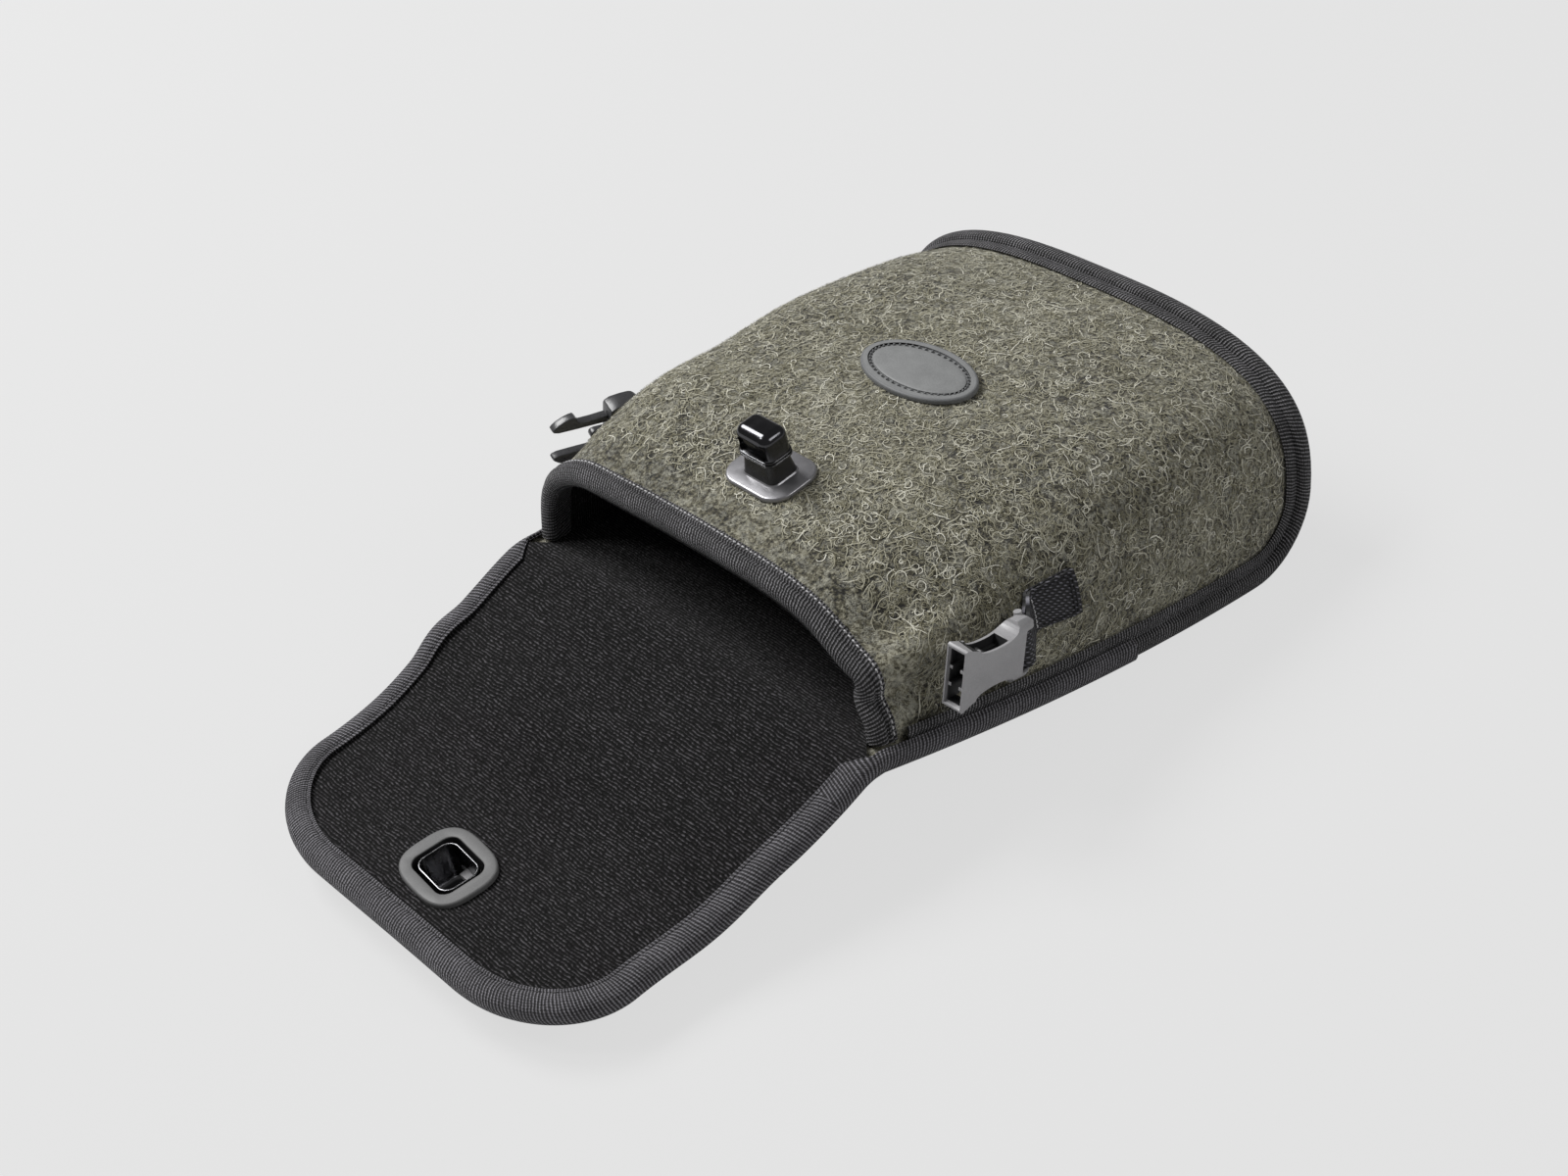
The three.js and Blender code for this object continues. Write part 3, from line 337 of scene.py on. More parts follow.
# %% Binding tape
def tape_finish(name, dark, middle, light, pitch=1.05):
    """Ribs across the ribbon; real ones are 0.7 mm apart and drawn a little coarser."""
    material, tree = finish(name, Roughness=0.66, Sheen_Weight=0.1, Sheen_Roughness=0.4,
                            Specular_IOR_Level=0.4)
    lengths = kept(tree, "along")
    axes = add(tree, "SeparateXYZ", {"Vector": lengths})
    sway = add(tree, "TexNoise", {"Vector": lengths}, Scale=0.12, Detail=2.0)
    slant = weigh(tree, (axes.outputs["X"], 1), (axes.outputs["Y"], 0.25),
                  (sway.outputs["Fac"], 1.6))
    fleck = add(tree, "TexNoise", {"Vector": lengths}, Scale=1.3, Detail=3.0, Roughness=0.7)
    broad = add(tree, "TexNoise", {"Vector": lengths}, Scale=0.09, Detail=2.0)
    level = weigh(tree, (wave(tree, slant, pitch), 0.24),
                  (wave(tree, axes.outputs["Y"], 0.75), 0.07),
                  (fleck.outputs["Fac"], 0.65), (broad.outputs["Fac"], 0.25))
    surface(tree, blend_colours(tree, level, (0.25, dark), (0.5, middle), (0.8, light)),
            level, 0.0007)
    return material


# %% [markdown]
# The tabs are narrow polyester webbing. Its warp shows as rows of short thick stitches
# that lie like bricks, with black gaps between them.

# %% Webbing
def webbing_finish():
    material, tree = finish("brick_webbing", Roughness=0.62, Sheen_Weight=0.1,
                            Sheen_Roughness=0.4, Specular_IOR_Level=0.4)
    lengths = kept(tree, "along")
    axes = add(tree, "SeparateXYZ", {"Vector": lengths})
    slant = weigh(tree, (axes.outputs["Y"], 1), (axes.outputs["X"], 0.3))
    across = combine(tree, "DIVIDE", slant, 0.85)
    along = weigh(tree, (combine(tree, "DIVIDE", axes.outputs["X"], 2.4), 1),
                  (combine(tree, "FLOOR", across), 0.5))
    brick = combine(tree, "ADD", wave(tree, along, 1), 1.1)
    round_off = combine(tree, "ABSOLUTE", wave(tree, across, 2))
    fleck = add(tree, "TexNoise", {"Vector": lengths}, Scale=1.5, Detail=2.0)
    level = weigh(tree, (combine(tree, "MULTIPLY", brick, round_off), 0.4),
                  (fleck.outputs["Fac"], 0.3))
    surface(tree, blend_colours(tree, level, (0.2, "0b0b0c"), (0.55, "27262b"), (0.95, "7a7981")),
            level, 0.0006)
    return material


# %% [markdown]
# Loose ends of wool stand off the felt as fine curls, each in one colour of its own. The
# sewing thread is twisted polyester, and its twist is drawn as fine bands.

# %% Wool fibres and sewing threads
def fibre_finish():
    material, tree = finish("loose_wool", Roughness=0.8, Specular_IOR_Level=0.25,
                            Sheen_Weight=0.2, Sheen_Roughness=0.5)
    own = add(tree, "SeparateXYZ", {"Vector": kept(tree, "along")})
    surface(tree, blend_colours(tree, own.outputs["X"], (0.0, "4f4b37"), (0.45, "8b8771"),
                                (0.8, "c2bfac"), (1.0, "efede0")))
    return material


def thread_finish(name, dark, light):
    material, tree = finish(name, Roughness=0.5, Specular_IOR_Level=0.4)
    bands = add(tree, "TexNoise", {"Vector": kept(tree, "rest")}, Scale=2.5, Detail=1.0)
    surface(tree, blend_colours(tree, bands.outputs["Fac"], (0.4, dark), (0.6, light)))
    return material


# %% [markdown]
# The hard pieces are moulded plastic and rubber, or die cast and plated metal. Both have a
# fine grain and are a little uneven in colour and gloss, so that no face looks drawn.

# %% Moulded and metal finishes
def moulded_finish(name, colour, roughness, grain, spread, **settings):
    """A fine eroded grain, with a colour that strays by a spread to both sides."""
    material, tree = finish(name, **settings)
    place = add(tree, "TexCoord").outputs["Object"]
    fine = add(tree, "TexNoise", {"Vector": place}, Scale=2600.0, Detail=2.0)
    broad = add(tree, "TexNoise", {"Vector": place}, Scale=220.0, Detail=3.0)
    level = weigh(tree, (fine.outputs["Fac"], 0.6), (broad.outputs["Fac"], 0.4))
    darker, lighter = ("".join(f"{int(colour[i:i + 2], 16) + step:02x}" for i in (0, 2, 4))
                       for step in (-spread, spread))
    rough = add(tree, "MapRange", {"Value": broad.outputs["Fac"]}, From_Min=0.3, From_Max=0.7,
                To_Min=roughness - 0.05, To_Max=roughness + 0.07)
    tree.links.new(rough.outputs[0], tree.nodes["Principled BSDF"].inputs["Roughness"])
    surface(tree, blend_colours(tree, level, (0.35, darker), (0.65, lighter)), level, 0.0001,
            grain)
    return material


FELT_WOOL = felt_finish()
LOOSE_WOOL = fibre_finish()
WEBBING = webbing_finish()
PALE_THREAD = thread_finish("pale_thread", "a3a2a4", "e2e1e3")
DARK_THREAD = thread_finish("dark_thread", "0e0d0f", "2a292c")
KNIT = knit_finish()
BLACK_TAPE = tape_finish("black_grosgrain", "060606", "2a292a", "98969a")
GREY_TAPE = tape_finish("grey_grosgrain", "1a191b", "4d4b4f", "9a989e")
# The buckle's one plastic in two copies: the pale one carries painted light, the dark one is
# partly its own colour and partly painted shade.
ACETAL_WITH_PAINTED_LIGHT = moulded_finish("acetal_with_painted_light", "a09fa1", 0.38, 0.3, 7)
DARK_ACETAL_WITH_PAINTED_SHADE = moulded_finish("dark_acetal_with_painted_shade", "3d3d3f", 0.27, 0.2, 4)
GLOSS_BLACK = moulded_finish("polished_black_nickel", "4a4a4c", 0.15, 0.05, 3, Metallic=1.0)
# Polished chrome for the lock's cup, also put on the post head's lips as a painted highlight.
CUP_CHROME_AND_PAINTED_LIP_HIGHLIGHT = moulded_finish("polished_dark_chrome_and_lip_highlight", "6a6a6c", 0.24, 0.02, 3, Metallic=1.0)
SATIN_BLACK = moulded_finish("satin_black", "1b1a1a", 0.3, 0.15, 4)
PLATE_GREY = moulded_finish("matt_grey_enamel", "6c6c6c", 0.46, 0.3, 5, Specular_IOR_Level=0.3)
BADGE_RUBBER = moulded_finish("grey_rubber", "727374", 0.5, 0.35, 6, Specular_IOR_Level=0.3)
BADGE_FIELD = moulded_finish("pale_rubber", "848585", 0.5, 0.5, 8, Specular_IOR_Level=0.3)
BRIGHT_STEEL = moulded_finish("nickelled_steel", "9a9a98", 0.3, 0.1, 8, Metallic=1.0)
DARK_NICKEL = moulded_finish("black_nickel", "98979a", 0.31, 0.1, 5, Metallic=0.65)
# Near black painted shade for the badge's groove and the walls of the lock's opening.
PAINTED_SHADE_BLACK = moulded_finish("painted_shade_black", "121113", 0.6, 0.2, 4)
# A darker copy of the buckle's plastic, as painted shade inside the socket.
ACETAL_INSIDE_PAINTED_SHADE = moulded_finish("acetal_inside_painted_shade", "2a2a2b", 0.5, 0.2, 4)


def cover(piece, *materials):
    piece.data.materials.clear()
    for material in materials:
        piece.data.materials.append(material)
    return piece


print("finishes:", len(bpy.data.materials))

# %% [markdown]
# The soft parts are cut from four cloths. Each surface is a grid of points in the pouch's
# axes, and a thickness is added to it afterwards. The grids remember their place at rest
# and their length along the cloth in millimetres, which the weaves and ribs follow.

# %% Grids to meshes
def grid_faces(rows, columns, turned=False):
    faces = []
    for r in range(rows - 1):
        for c in range(columns - 1):
            a, b = r * columns + c, r * columns + c + 1
            quad = (a, b, b + columns, a + columns)
            faces.append(quad[::-1] if turned else quad)
    return faces


def run_along(points):
    """Length along a line of points, up to each of them."""
    return np.concatenate([[0], np.cumsum(np.linalg.norm(np.diff(points, axis=0), axis=1))])


def point_at(line, run, at):
    """Values of a line of points at one length along it."""
    return np.array([np.interp(at, run, line[:, k]) for k in range(3)])


def unit_rows(vectors):
    return vectors / np.linalg.norm(vectors, axis=-1)[..., None]


def mesh_object(name, places, faces, **values):
    """An object from places in metres; it keeps values in millimetres at its corners."""
    mesh = bpy.data.meshes.new(name)
    mesh.from_pydata(places.tolist(), [], faces)
    for key, value in values.items():
        attribute = mesh.attributes.new(key, "FLOAT_VECTOR", "POINT")
        attribute.data.foreach_set("vector", np.asarray(value, np.float32).reshape(-1))
    mesh.update()
    piece = bpy.data.objects.new(name, mesh)
    bpy.context.scene.collection.objects.link(piece)
    return piece


def new_object(name, points, faces, **values):
    """An object from points in the pouch's axes, with its place at rest kept."""
    return mesh_object(name, settled(points), faces, rest=points, **values)


def select_only(piece):
    bpy.ops.object.select_all(action="DESELECT")
    piece.select_set(True)
    bpy.context.view_layer.objects.active = piece


def apply_modifier(piece, kind, **settings):
    select_only(piece)
    modifier = piece.modifiers.new(kind.title(), kind)
    for key, value in settings.items():
        setattr(modifier, key, value)
    bpy.ops.object.modifier_apply(modifier=modifier.name)


def thicken(piece, millimetres):
    """Gives a sheet its thickness on the side away from its normals."""
    apply_modifier(piece, "SOLIDIFY", thickness=millimetres / 1000, offset=-1,
                   use_even_offset=True, use_quality_normals=True)


def smooth(piece, degrees=40):
    select_only(piece)
    bpy.ops.object.shade_smooth_by_angle(angle=math.radians(degrees))


# %% The pouch's surface
MOUTH_WIDTH, BOTTOM_WIDTH, SIDE_BULGE = 145, 161, 5
MOUTH_DEPTH, BOTTOM_DEPTH, FRONT_BULGE = 35, 59, 6.5
LENGTH, BOTTOM_BEND = 162, 20
FRONT_POWER, WALL_POWER = 2.8, 4.2
FELT, LINING, TAPE, GAP = 3, 1, 0.6, 0.3
POST_AT, BADGE_AT, LOCK_AT = 28.5, 85.7, 96


def bulged(first, last, bulge, y):
    t = y / LENGTH
    return first + (last - first) * t + 4 * bulge * t * (1 - t)


def half_width(y):
    return bulged(MOUTH_WIDTH / 2, BOTTOM_WIDTH / 2, SIDE_BULGE, y)


def depth(y):
    return bulged(MOUTH_DEPTH, BOTTOM_DEPTH, FRONT_BULGE, y)


def arch_normal(y, x, z):
    w, h = half_width(y), depth(y)
    nx = FRONT_POWER / w * np.sign(x) * (abs(x) / w) ** (FRONT_POWER - 1)
    nz = WALL_POWER / h * (abs(z) / h) ** (WALL_POWER - 1)
    size = np.hypot(nx, nz)
    return nx / size, nz / size


def arch(y, angle, inset=0):
    """Points of the front and side walls at station y, sunk inwards by inset."""
    y, angle = np.broadcast_arrays(np.asarray(y, float), np.asarray(angle, float))
    w, h = half_width(y), depth(y)
    c, s = np.cos(angle), np.sin(angle)
    x = w * np.sign(c) * abs(c) ** (2 / FRONT_POWER)
    z = h * abs(s) ** (2 / WALL_POWER)
    nx, nz = arch_normal(y, x, z)
    return np.stack([x - nx * inset, y, z - nz * inset], -1)


def angle_at_height(y, z):
    return np.arcsin(np.clip(np.maximum(z, 0) / depth(y), 0, 1) ** (WALL_POWER / 2))


def foot_height(y, lift):
    """Height of the wall's foot, which climbs with the back towards the closed end."""
    radius = BOTTOM_BEND - lift
    into = np.clip(y - (LENGTH - BOTTOM_BEND), 0, radius)
    return BOTTOM_BEND - np.sqrt(radius ** 2 - into ** 2)


def bump(value, centre, reach):
    """A smooth hump, one at its centre and nought beyond its reach."""
    t = np.clip(abs(value - centre) / reach, 0, 1)
    return (1 - t * t) ** 2


# %% [markdown]
# The front felt is one stiff panel bent over the contents. Wool felt holds a rounded
# form with slow swells, and it is pressed in where a hand has held the side near the
# mouth. It is drawn as a loft over the measured arch, and the swells and dents move its
# points along their normals. It is kept at the measured height under post and badge.

# %% Swells and dents of the front
def ease(value, first, last):
    """Rises smoothly from 0 at first to 1 at last."""
    t = np.clip((value - first) / (last - first), 0, 1)
    return t * t * (3 - 2 * t)


def pressed(y, x):
    """Nought where post and badge hold the felt down, one away from them."""
    post = bump(np.hypot(x / 24, (y - POST_AT) / 20), 0, 1)
    badge = bump(np.hypot(x / 34, (y - BADGE_AT) / 26), 0, 1)
    return (1 - post) * (1 - badge)


def front_swell(y, angle):
    """How far the felt stands off the measured arch, in millimetres."""
    x = half_width(y) * np.sign(np.cos(angle)) * abs(np.cos(angle)) ** (2 / FRONT_POWER)
    height = abs(np.sin(angle)) ** (2 / WALL_POWER)
    swell = 3.6 * bump(angle, 2.4, 0.75) * bump(y, 92, 95)
    swell += 3.2 * bump(angle, 2.35, 0.62) * bump(y, 36, 36)
    swell += 1.6 * bump(angle, 0.75, 0.5) * bump(y, 120, 70)
    swell += 0.45 * np.sin(y / 13 + 2.2 * angle) * bump(angle, math.pi / 2, 1.5)
    swell += 0.3 * np.sin(y / 7.5 - 5 * angle + 1) * bump(angle, math.pi / 2, 1.5)
    swell *= np.clip(y / 18, 0, 1) * np.clip((LENGTH - y) / 14, 0, 1) * pressed(y, x)
    right = angle < math.pi / 2
    wall = ease(height, 0.08, 0.42) * (1 - ease(height, 0.86, 1))
    swell -= 5.0 * right * wall * (1 - ease(y, -6, 26))
    swell -= 2.6 * ease(height, 0.86, 1) * (1 - ease(y, 0, 20))
    behind = 0.3 + 0.7 * ease(y, 2, 13)
    swell -= 3.8 * right * bump(height, 0.80, 0.15) * bump(y, 10, 32) * behind
    swell -= 2.8 * right * bump(height, 0.37, 0.15) * bump(y, 8, 26) * behind
    swell -= 2.4 * right * bump(height, 0.26, 0.24) * bump(y, 30, 30)
    swell += 0.9 * right * bump(height, 0.6, 0.12) * bump(y, 14, 24) * behind
    return swell


# %% Front felt and its lining
def front_points(y, angle, inset):
    """Points of the swelled and dented front at station y, sunk inwards by inset."""
    points = arch(y, angle)
    nx, nz = arch_normal(points[..., 1], points[..., 0], points[..., 2])
    off = front_swell(points[..., 1], np.asarray(angle, float)) - inset
    return points + np.stack([nx * off, np.zeros_like(nx), nz * off], -1)


def arch_grid(stations, steps, inset, lift):
    """Rows of points over the arch, denser at the bends, with lengths along the cloth."""
    rows = []
    for y in stations:
        foot = angle_at_height(y, foot_height(y, lift))
        t = np.linspace(0, 1, steps + 1)
        angle = foot + (math.pi - 2 * foot) * t
        rows.append(front_points(y, angle, inset))
    return np.array(rows)


def cloth_lengths(grid, start):
    """Lengths across each row from its middle, and along the grid from a start."""
    middle = grid.shape[1] // 2
    u = np.stack([run_along(row) for row in grid])
    u -= u[:, middle:middle + 1]
    v = start + run_along(grid[:, middle])
    return np.stack([u, np.broadcast_to(v[:, None], u.shape), np.zeros_like(u)], -1)


def loft(name, grid, turned=False, start=0.0):
    lengths = cloth_lengths(grid, start)
    return new_object(name, grid.reshape(-1, 3), grid_faces(*grid.shape[:2], turned),
                      along=lengths)


def cloth(name, grid, thickness, slot, *nodes, start=0.0, turned=False):
    """A sheet lofted over a grid, with its thickness and the nodes it replaces; its slot is not
    used.
    """
    piece = loft(name, grid, turned, start)
    thicken(piece, thickness)
    smooth(piece)
    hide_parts(*nodes)
    return piece


def end_stations(straight, bend, reach):
    """Stations from the mouth to the closed end, closer together as the cloth bends."""
    return np.concatenate([np.linspace(EDGE, END_START, straight),
                           END_START + reach * np.sin(np.linspace(0, math.pi / 2, bend + 1)[1:])])


EDGE = TAPE + GAP
END_START = LENGTH - BOTTOM_BEND
front_grid = arch_grid(end_stations(60, 12, 20), 110, 0, GAP)
front_felt = cloth("front_felt", front_grid, FELT, "felt", "front_shell", turned=True)
lining_grid = arch_grid(end_stations(40, 8, 18.4), 80, FELT + GAP, 1.6)
front_lining = cloth("front_knit", lining_grid, LINING, "knit_lining", "front_lining",
                     turned=True)
for piece in (front_felt, front_lining):
    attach(piece, "pouch")
print("front felt", len(front_felt.data.polygons), "faces")

# %% [markdown]
# The back runs on over the mouth as the flap, in one length of cloth. Its middle line
# leaves the mouth level, bends down over the floor and lies out flat on the lock.

# %% The flap's middle line and outline
FLAP_LENGTH = 119.5
CORNER_DEPTH, CORNER_WIDTH = 30, 40
FLAP_SLOPES = [(-0.008, 0), (0.067, 25), (0.318, 26), (0.4184, 32), (0.4854, 28),
               (0.6025, 16), (0.703, 12), (1, 12)]
SHOULDER = MOUTH_WIDTH / 2 + 3 + 2 * (GAP + TAPE)
CORNER_START = FLAP_LENGTH - CORNER_DEPTH
FLAP_HALF_WIDTHS = [(0, SHOULDER), (18, SHOULDER), (58, SHOULDER - 2.8),
                    (CORNER_START, SHOULDER - 5.4)]


def value_at(stations, s):
    """Smooth value through a short list of stations."""
    last = len(stations) - 1
    if s <= stations[0][0]:
        return stations[0][1]
    if s >= stations[last][0]:
        return stations[last][1]
    i = next(k for k, (at, _) in enumerate(stations) if at > s) - 1

    def slope(j):
        if j in (0, last):
            return 0
        (s0, v0), (s1, v1) = stations[j - 1], stations[j + 1]
        return (v1 - v0) / (s1 - s0)

    (s0, v0), (s1, v1) = stations[i], stations[i + 1]
    t = (s - s0) / (s1 - s0)
    m0, m1 = slope(i) * (s1 - s0), slope(i + 1) * (s1 - s0)
    return ((2 * t ** 3 - 3 * t ** 2 + 1) * v0 + (t ** 3 - 2 * t ** 2 + t) * m0
            + (3 * t ** 2 - 2 * t ** 3) * v1 + (t ** 3 - t ** 2) * m1)


PROFILE_STEP = 0.5
profile = [(0.0, 0.0)]
for k in range(int(FLAP_LENGTH / PROFILE_STEP) + 2):
    slope = math.radians(value_at(FLAP_SLOPES, (k + 0.5) * PROFILE_STEP / FLAP_LENGTH))
    y, z = profile[-1]
    profile.append((y - math.cos(slope) * PROFILE_STEP, z - math.sin(slope) * PROFILE_STEP))


def flap_spot(s):
    """Place and upward direction of the flap's middle line at station s."""
    slope = math.radians(value_at(FLAP_SLOPES, s / FLAP_LENGTH))
    i = min(int(s / PROFILE_STEP), len(profile) - 2)
    t = s / PROFILE_STEP - i
    (y0, z0), (y1, z1) = profile[i], profile[i + 1]
    up = np.array([0, -math.sin(slope), math.cos(slope)])
    return np.array([0, y0 + (y1 - y0) * t, z0 + (z1 - z0) * t]), up


def flap_outline(stations, inset):
    """Half widths and stations of the flap's edge, moved in by inset."""
    pairs = []
    for s in stations:
        if s <= CORNER_START:
            pairs.append((value_at(FLAP_HALF_WIDTHS, s) - inset, s))
            continue
        turn = math.pi / 2 * (s - CORNER_START) / CORNER_DEPTH
        pairs.append((SHOULDER - 5.4 - CORNER_WIDTH + (CORNER_WIDTH - inset) * math.cos(turn),
                      CORNER_START + (CORNER_DEPTH - inset) * math.sin(turn)))
    return pairs


def flap_wave(x, s):
    """Slow waves of the open flap, in millimetres above its middle line."""
    x, s = np.asarray(x, float), np.asarray(s, float)
    free = np.clip((s - 6) / 30, 0, 1) * np.clip((FLAP_LENGTH - s) / 20, 0.25, 1)
    flat = 1 - bump(np.hypot(x / 26, (s - LOCK_AT) / 24), 0, 1)
    wave = 0.7 * np.sin(x / 19 + 0.8) * np.sin(s / 15 + 0.4) + 0.45 * np.sin(x / 11 - s / 23)
    crease = 1.7 * bump(np.hypot((x + 80) / 30, (s - 42) / 12), 0, 1)
    return wave * free * flat + crease * np.clip(s - 22, 0, 8) / 8


# %% Back felt and lining, as far as the flap's root
ROOT, SEAM_ALLOWANCE, CLOTH_INSET = 19, 3, 0.9


def root_width(edge, s, inset=0.0):
    """Half width where the flap leaves the back, whose edge stands out by edge."""
    near = half_width(0) + edge
    return near + (value_at(FLAP_HALF_WIDTHS, s) - inset - near) * min(1, s / 6)


def end_bend(turn):
    """Station, height and upward direction of the back, round the bend of its end."""
    y = LENGTH - BOTTOM_BEND + BOTTOM_BEND * math.sin(turn)
    up = np.array([0, -math.sin(turn), math.cos(turn)])
    return y, BOTTOM_BEND * (1 - math.cos(turn)), up


def back_rows(edge):
    """Half width, middle point, upward direction and flap station of each row."""
    rows = []
    for s in np.linspace(ROOT, 0.8, 14):
        rows.append((root_width(edge, s, CLOTH_INSET), *flap_spot(s), s))
    for y in np.linspace(0, LENGTH - BOTTOM_BEND, 44):
        rows.append((half_width(y) + edge, np.array([0, y, 0]), np.array([0, 0, 1.0]), 0))
    for turn in np.linspace(0, math.pi / 2, 11)[1:]:
        y, z, up = end_bend(turn)
        x = arch(y, angle_at_height(y, z))[0]
        rows.append((x + edge, np.array([0, y, z]), up, 0))
    start = angle_at_height(LENGTH, BOTTOM_BEND)
    for share in np.linspace(0, 0.965, 13)[1:]:
        rim = arch(LENGTH, start + (math.pi / 2 - start) * share, -edge)
        rows.append((rim[0], np.array([0, LENGTH, rim[2]]), np.array([0, -1.0, 0]), 0))
    return rows


def waved_grid(rows, height, columns):
    """A grid from rows (half width, middle, up, flap station), at a height over them."""
    share = np.linspace(1, -1, columns + 1)
    grid = []
    for x, spot, up, s in rows:
        lift = height + flap_wave(x * share, s) * (s > 0)
        row = spot[None] + up[None] * lift[:, None]
        row[:, 0] = x * share
        grid.append(row)
    return np.array(grid)


felt_grid = waved_grid(back_rows(SEAM_ALLOWANCE), -FELT, 56)
back_felt = cloth("back_felt", felt_grid, FELT, "felt", "back_panel", start=-ROOT)
knit_grid = waved_grid(back_rows(-FELT - GAP), GAP, 56)
back_knit = cloth("back_knit", knit_grid, LINING, "knit_lining", "back_lining", start=-ROOT)
print("back felt", len(back_felt.data.polygons), "faces")


# %% Flap felt and lining beyond the root
def flap_grid(height):
    stations = np.concatenate([np.linspace(ROOT, CORNER_START, 50),
                               np.linspace(CORNER_START, FLAP_LENGTH, 25)[1:]])
    rows = [(x, *flap_spot(s), s) for x, s in flap_outline(stations, CLOTH_INSET)]
    return waved_grid(rows, height, 64)[::-1]


flap_felt_grid, flap_knit_grid = flap_grid(-FELT), flap_grid(GAP)
flap_felt = cloth("flap_felt", flap_felt_grid, FELT, "felt", "flap_top_felt",
                  "flap_front_felt", start=-FLAP_LENGTH)
flap_knit = cloth("flap_knit", flap_knit_grid, LINING, "knit_lining", "flap_top_lining",
                  "flap_front_lining", start=-FLAP_LENGTH)

# %% [markdown]
# Two points of the flap's middle line on the floor mark the ends of each fold.


# %% Points at the folds
def fold_points(first, last):
    """Two stations of the flap's middle line on the floor, for the bend between them."""
    return [settled(flap_spot(s)[0])[0].tolist() for s in (first, last)]


TOP_FOLD = fold_points(0, 9)
FRONT_FOLD = fold_points(24, 46.6)


# %% [markdown]
# Grosgrain tape binds every raw edge: a ribbed ribbon folded in half over the cloth and
# stitched through near its edges, so it swells between the stitches and the fold. Each
# tape is a folded section swept along its edge.

# %% Tapes swept along edges
SEWN = 0.2


ONE_ROW = ((0, 0), (0.07, 0.3), (0.14, 0.25), (SEWN, -0.1), (0.26, 0.35), (0.36, 0.8),
           (0.5, 1), (0.65, 0.95), (0.8, 0.7), (0.92, 0.35))
TWO_ROWS = ((0, 0), (0.06, 0.3), (0.12, 0.3), (SEWN, -0.1), (0.26, 0.5), (0.36, 0.85),
            (0.46, 0.6), (0.53, -0.05), (0.6, 0.5), (0.72, 1), (0.86, 0.8))


def folded_path(edge, top, bottom, top_leg, bottom_leg, swell=0.5, reach=1.6, turns=9,
                lifts=ONE_ROW):
    """Outer path of a tape section: top leg, rounded fold, bottom leg, as (out, up)."""
    middle, half = (top + bottom) / 2, (top - bottom) / 2
    path = []
    for t, lift in lifts:
        path.append((edge - reach - (top_leg - reach) * (1 - t), top + swell * lift))
    for turn in np.linspace(math.pi / 2, -math.pi / 2, turns):
        path.append((edge - reach + reach * math.cos(turn), middle + half * math.sin(turn)))
    for t in np.linspace(0, 1, 6)[1:]:
        path.append((edge - reach - (bottom_leg - reach) * t,
                     bottom - 0.15 * math.sin(math.pi * t)))
    return np.array(path)


def inner_path(path, thickness):
    """The path's other face, a thickness away on the side that the tape folds round."""
    tangent = unit_rows(np.gradient(path, axis=0))
    return path + np.stack([tangent[:, 1], -tangent[:, 0]], 1) * thickness


def tape(name, spots, paths, thickness=TAPE):
    """A closed tape from edge spots (point, up, out, lean) and one path or one for each."""
    if not isinstance(paths, list):
        paths = [paths] * len(spots)
    outer, inner, lengths = [], [], []
    run = 0
    for i, ((point, up, out, lean), path) in enumerate(zip(spots, paths)):
        if i:
            run += np.linalg.norm(point - spots[i - 1][0])
        across = run_along(path)
        lengths.append(np.stack([np.full(len(path), run), across, np.zeros(len(path))], 1))
        for side, store in ((path, outer), (inner_path(path, thickness), inner)):
            o = side[:, 0] + lean * np.maximum(side[:, 1], 0)
            store.append(point[None] + o[:, None] * out[None] + side[:, 1][:, None] * up[None])
    rows, columns = len(spots), len(paths[0])
    total = rows * columns
    faces = grid_faces(rows, columns)
    faces += [tuple(total + v for v in f[::-1]) for f in grid_faces(rows, columns)]
    for r in range(rows - 1):
        for c in (0, columns - 1):
            a, b = r * columns + c, (r + 1) * columns + c
            faces.append((a, b, total + b, total + a))
    for c in range(columns - 1):
        for r in (0, rows - 1):
            a, b = r * columns + c, r * columns + c + 1
            faces.append((a, b, total + b, total + a))
    points = np.concatenate([np.concatenate(outer), np.concatenate(inner)])
    piece = new_object(name, points, faces, along=lengths + lengths)
    outward(piece)
    smooth(piece)
    return piece


def outward(piece):
    """Turns the faces of a closed piece outwards."""
    work = bmesh.new()
    work.from_mesh(piece.data)
    bmesh.ops.recalc_face_normals(work, faces=work.faces)
    work.to_mesh(piece.data)
    work.free()


def with_outward(points, ups, leans=None):
    """Adds to each spot of an edge its direction out of the edge."""
    points, ups = np.array(points), np.array(ups)
    along = np.gradient(points, axis=0)
    out = unit_rows(np.cross(along, ups))
    leans = np.zeros(len(points)) if leans is None else leans
    return [(points[i], ups[i], out[i], leans[i]) for i in range(len(points))]


def mirrored(spots):
    flip = np.array([-1, 1, 1])
    return [(p * flip, u * flip, o * flip, lean) for p, u, o, lean in spots]


# %% Tape round the mouth
MOUTH_EDGE, MOUTH_LEG = 0.4, 7.2


def mouth_spots(steps=90):
    foot = angle_at_height(0, 1.9)
    angles = np.linspace(foot, math.pi - foot, steps + 1)
    rim, behind = front_points(0, angles, 0), front_points(7, angles, 0)
    out = unit_rows(rim - behind)
    up = unit_rows(np.cross(np.gradient(rim, axis=0), out))
    up *= np.sign(up[steps // 2, 2])
    return [(rim[i], up[i], out[i], 0) for i in range(steps + 1)]


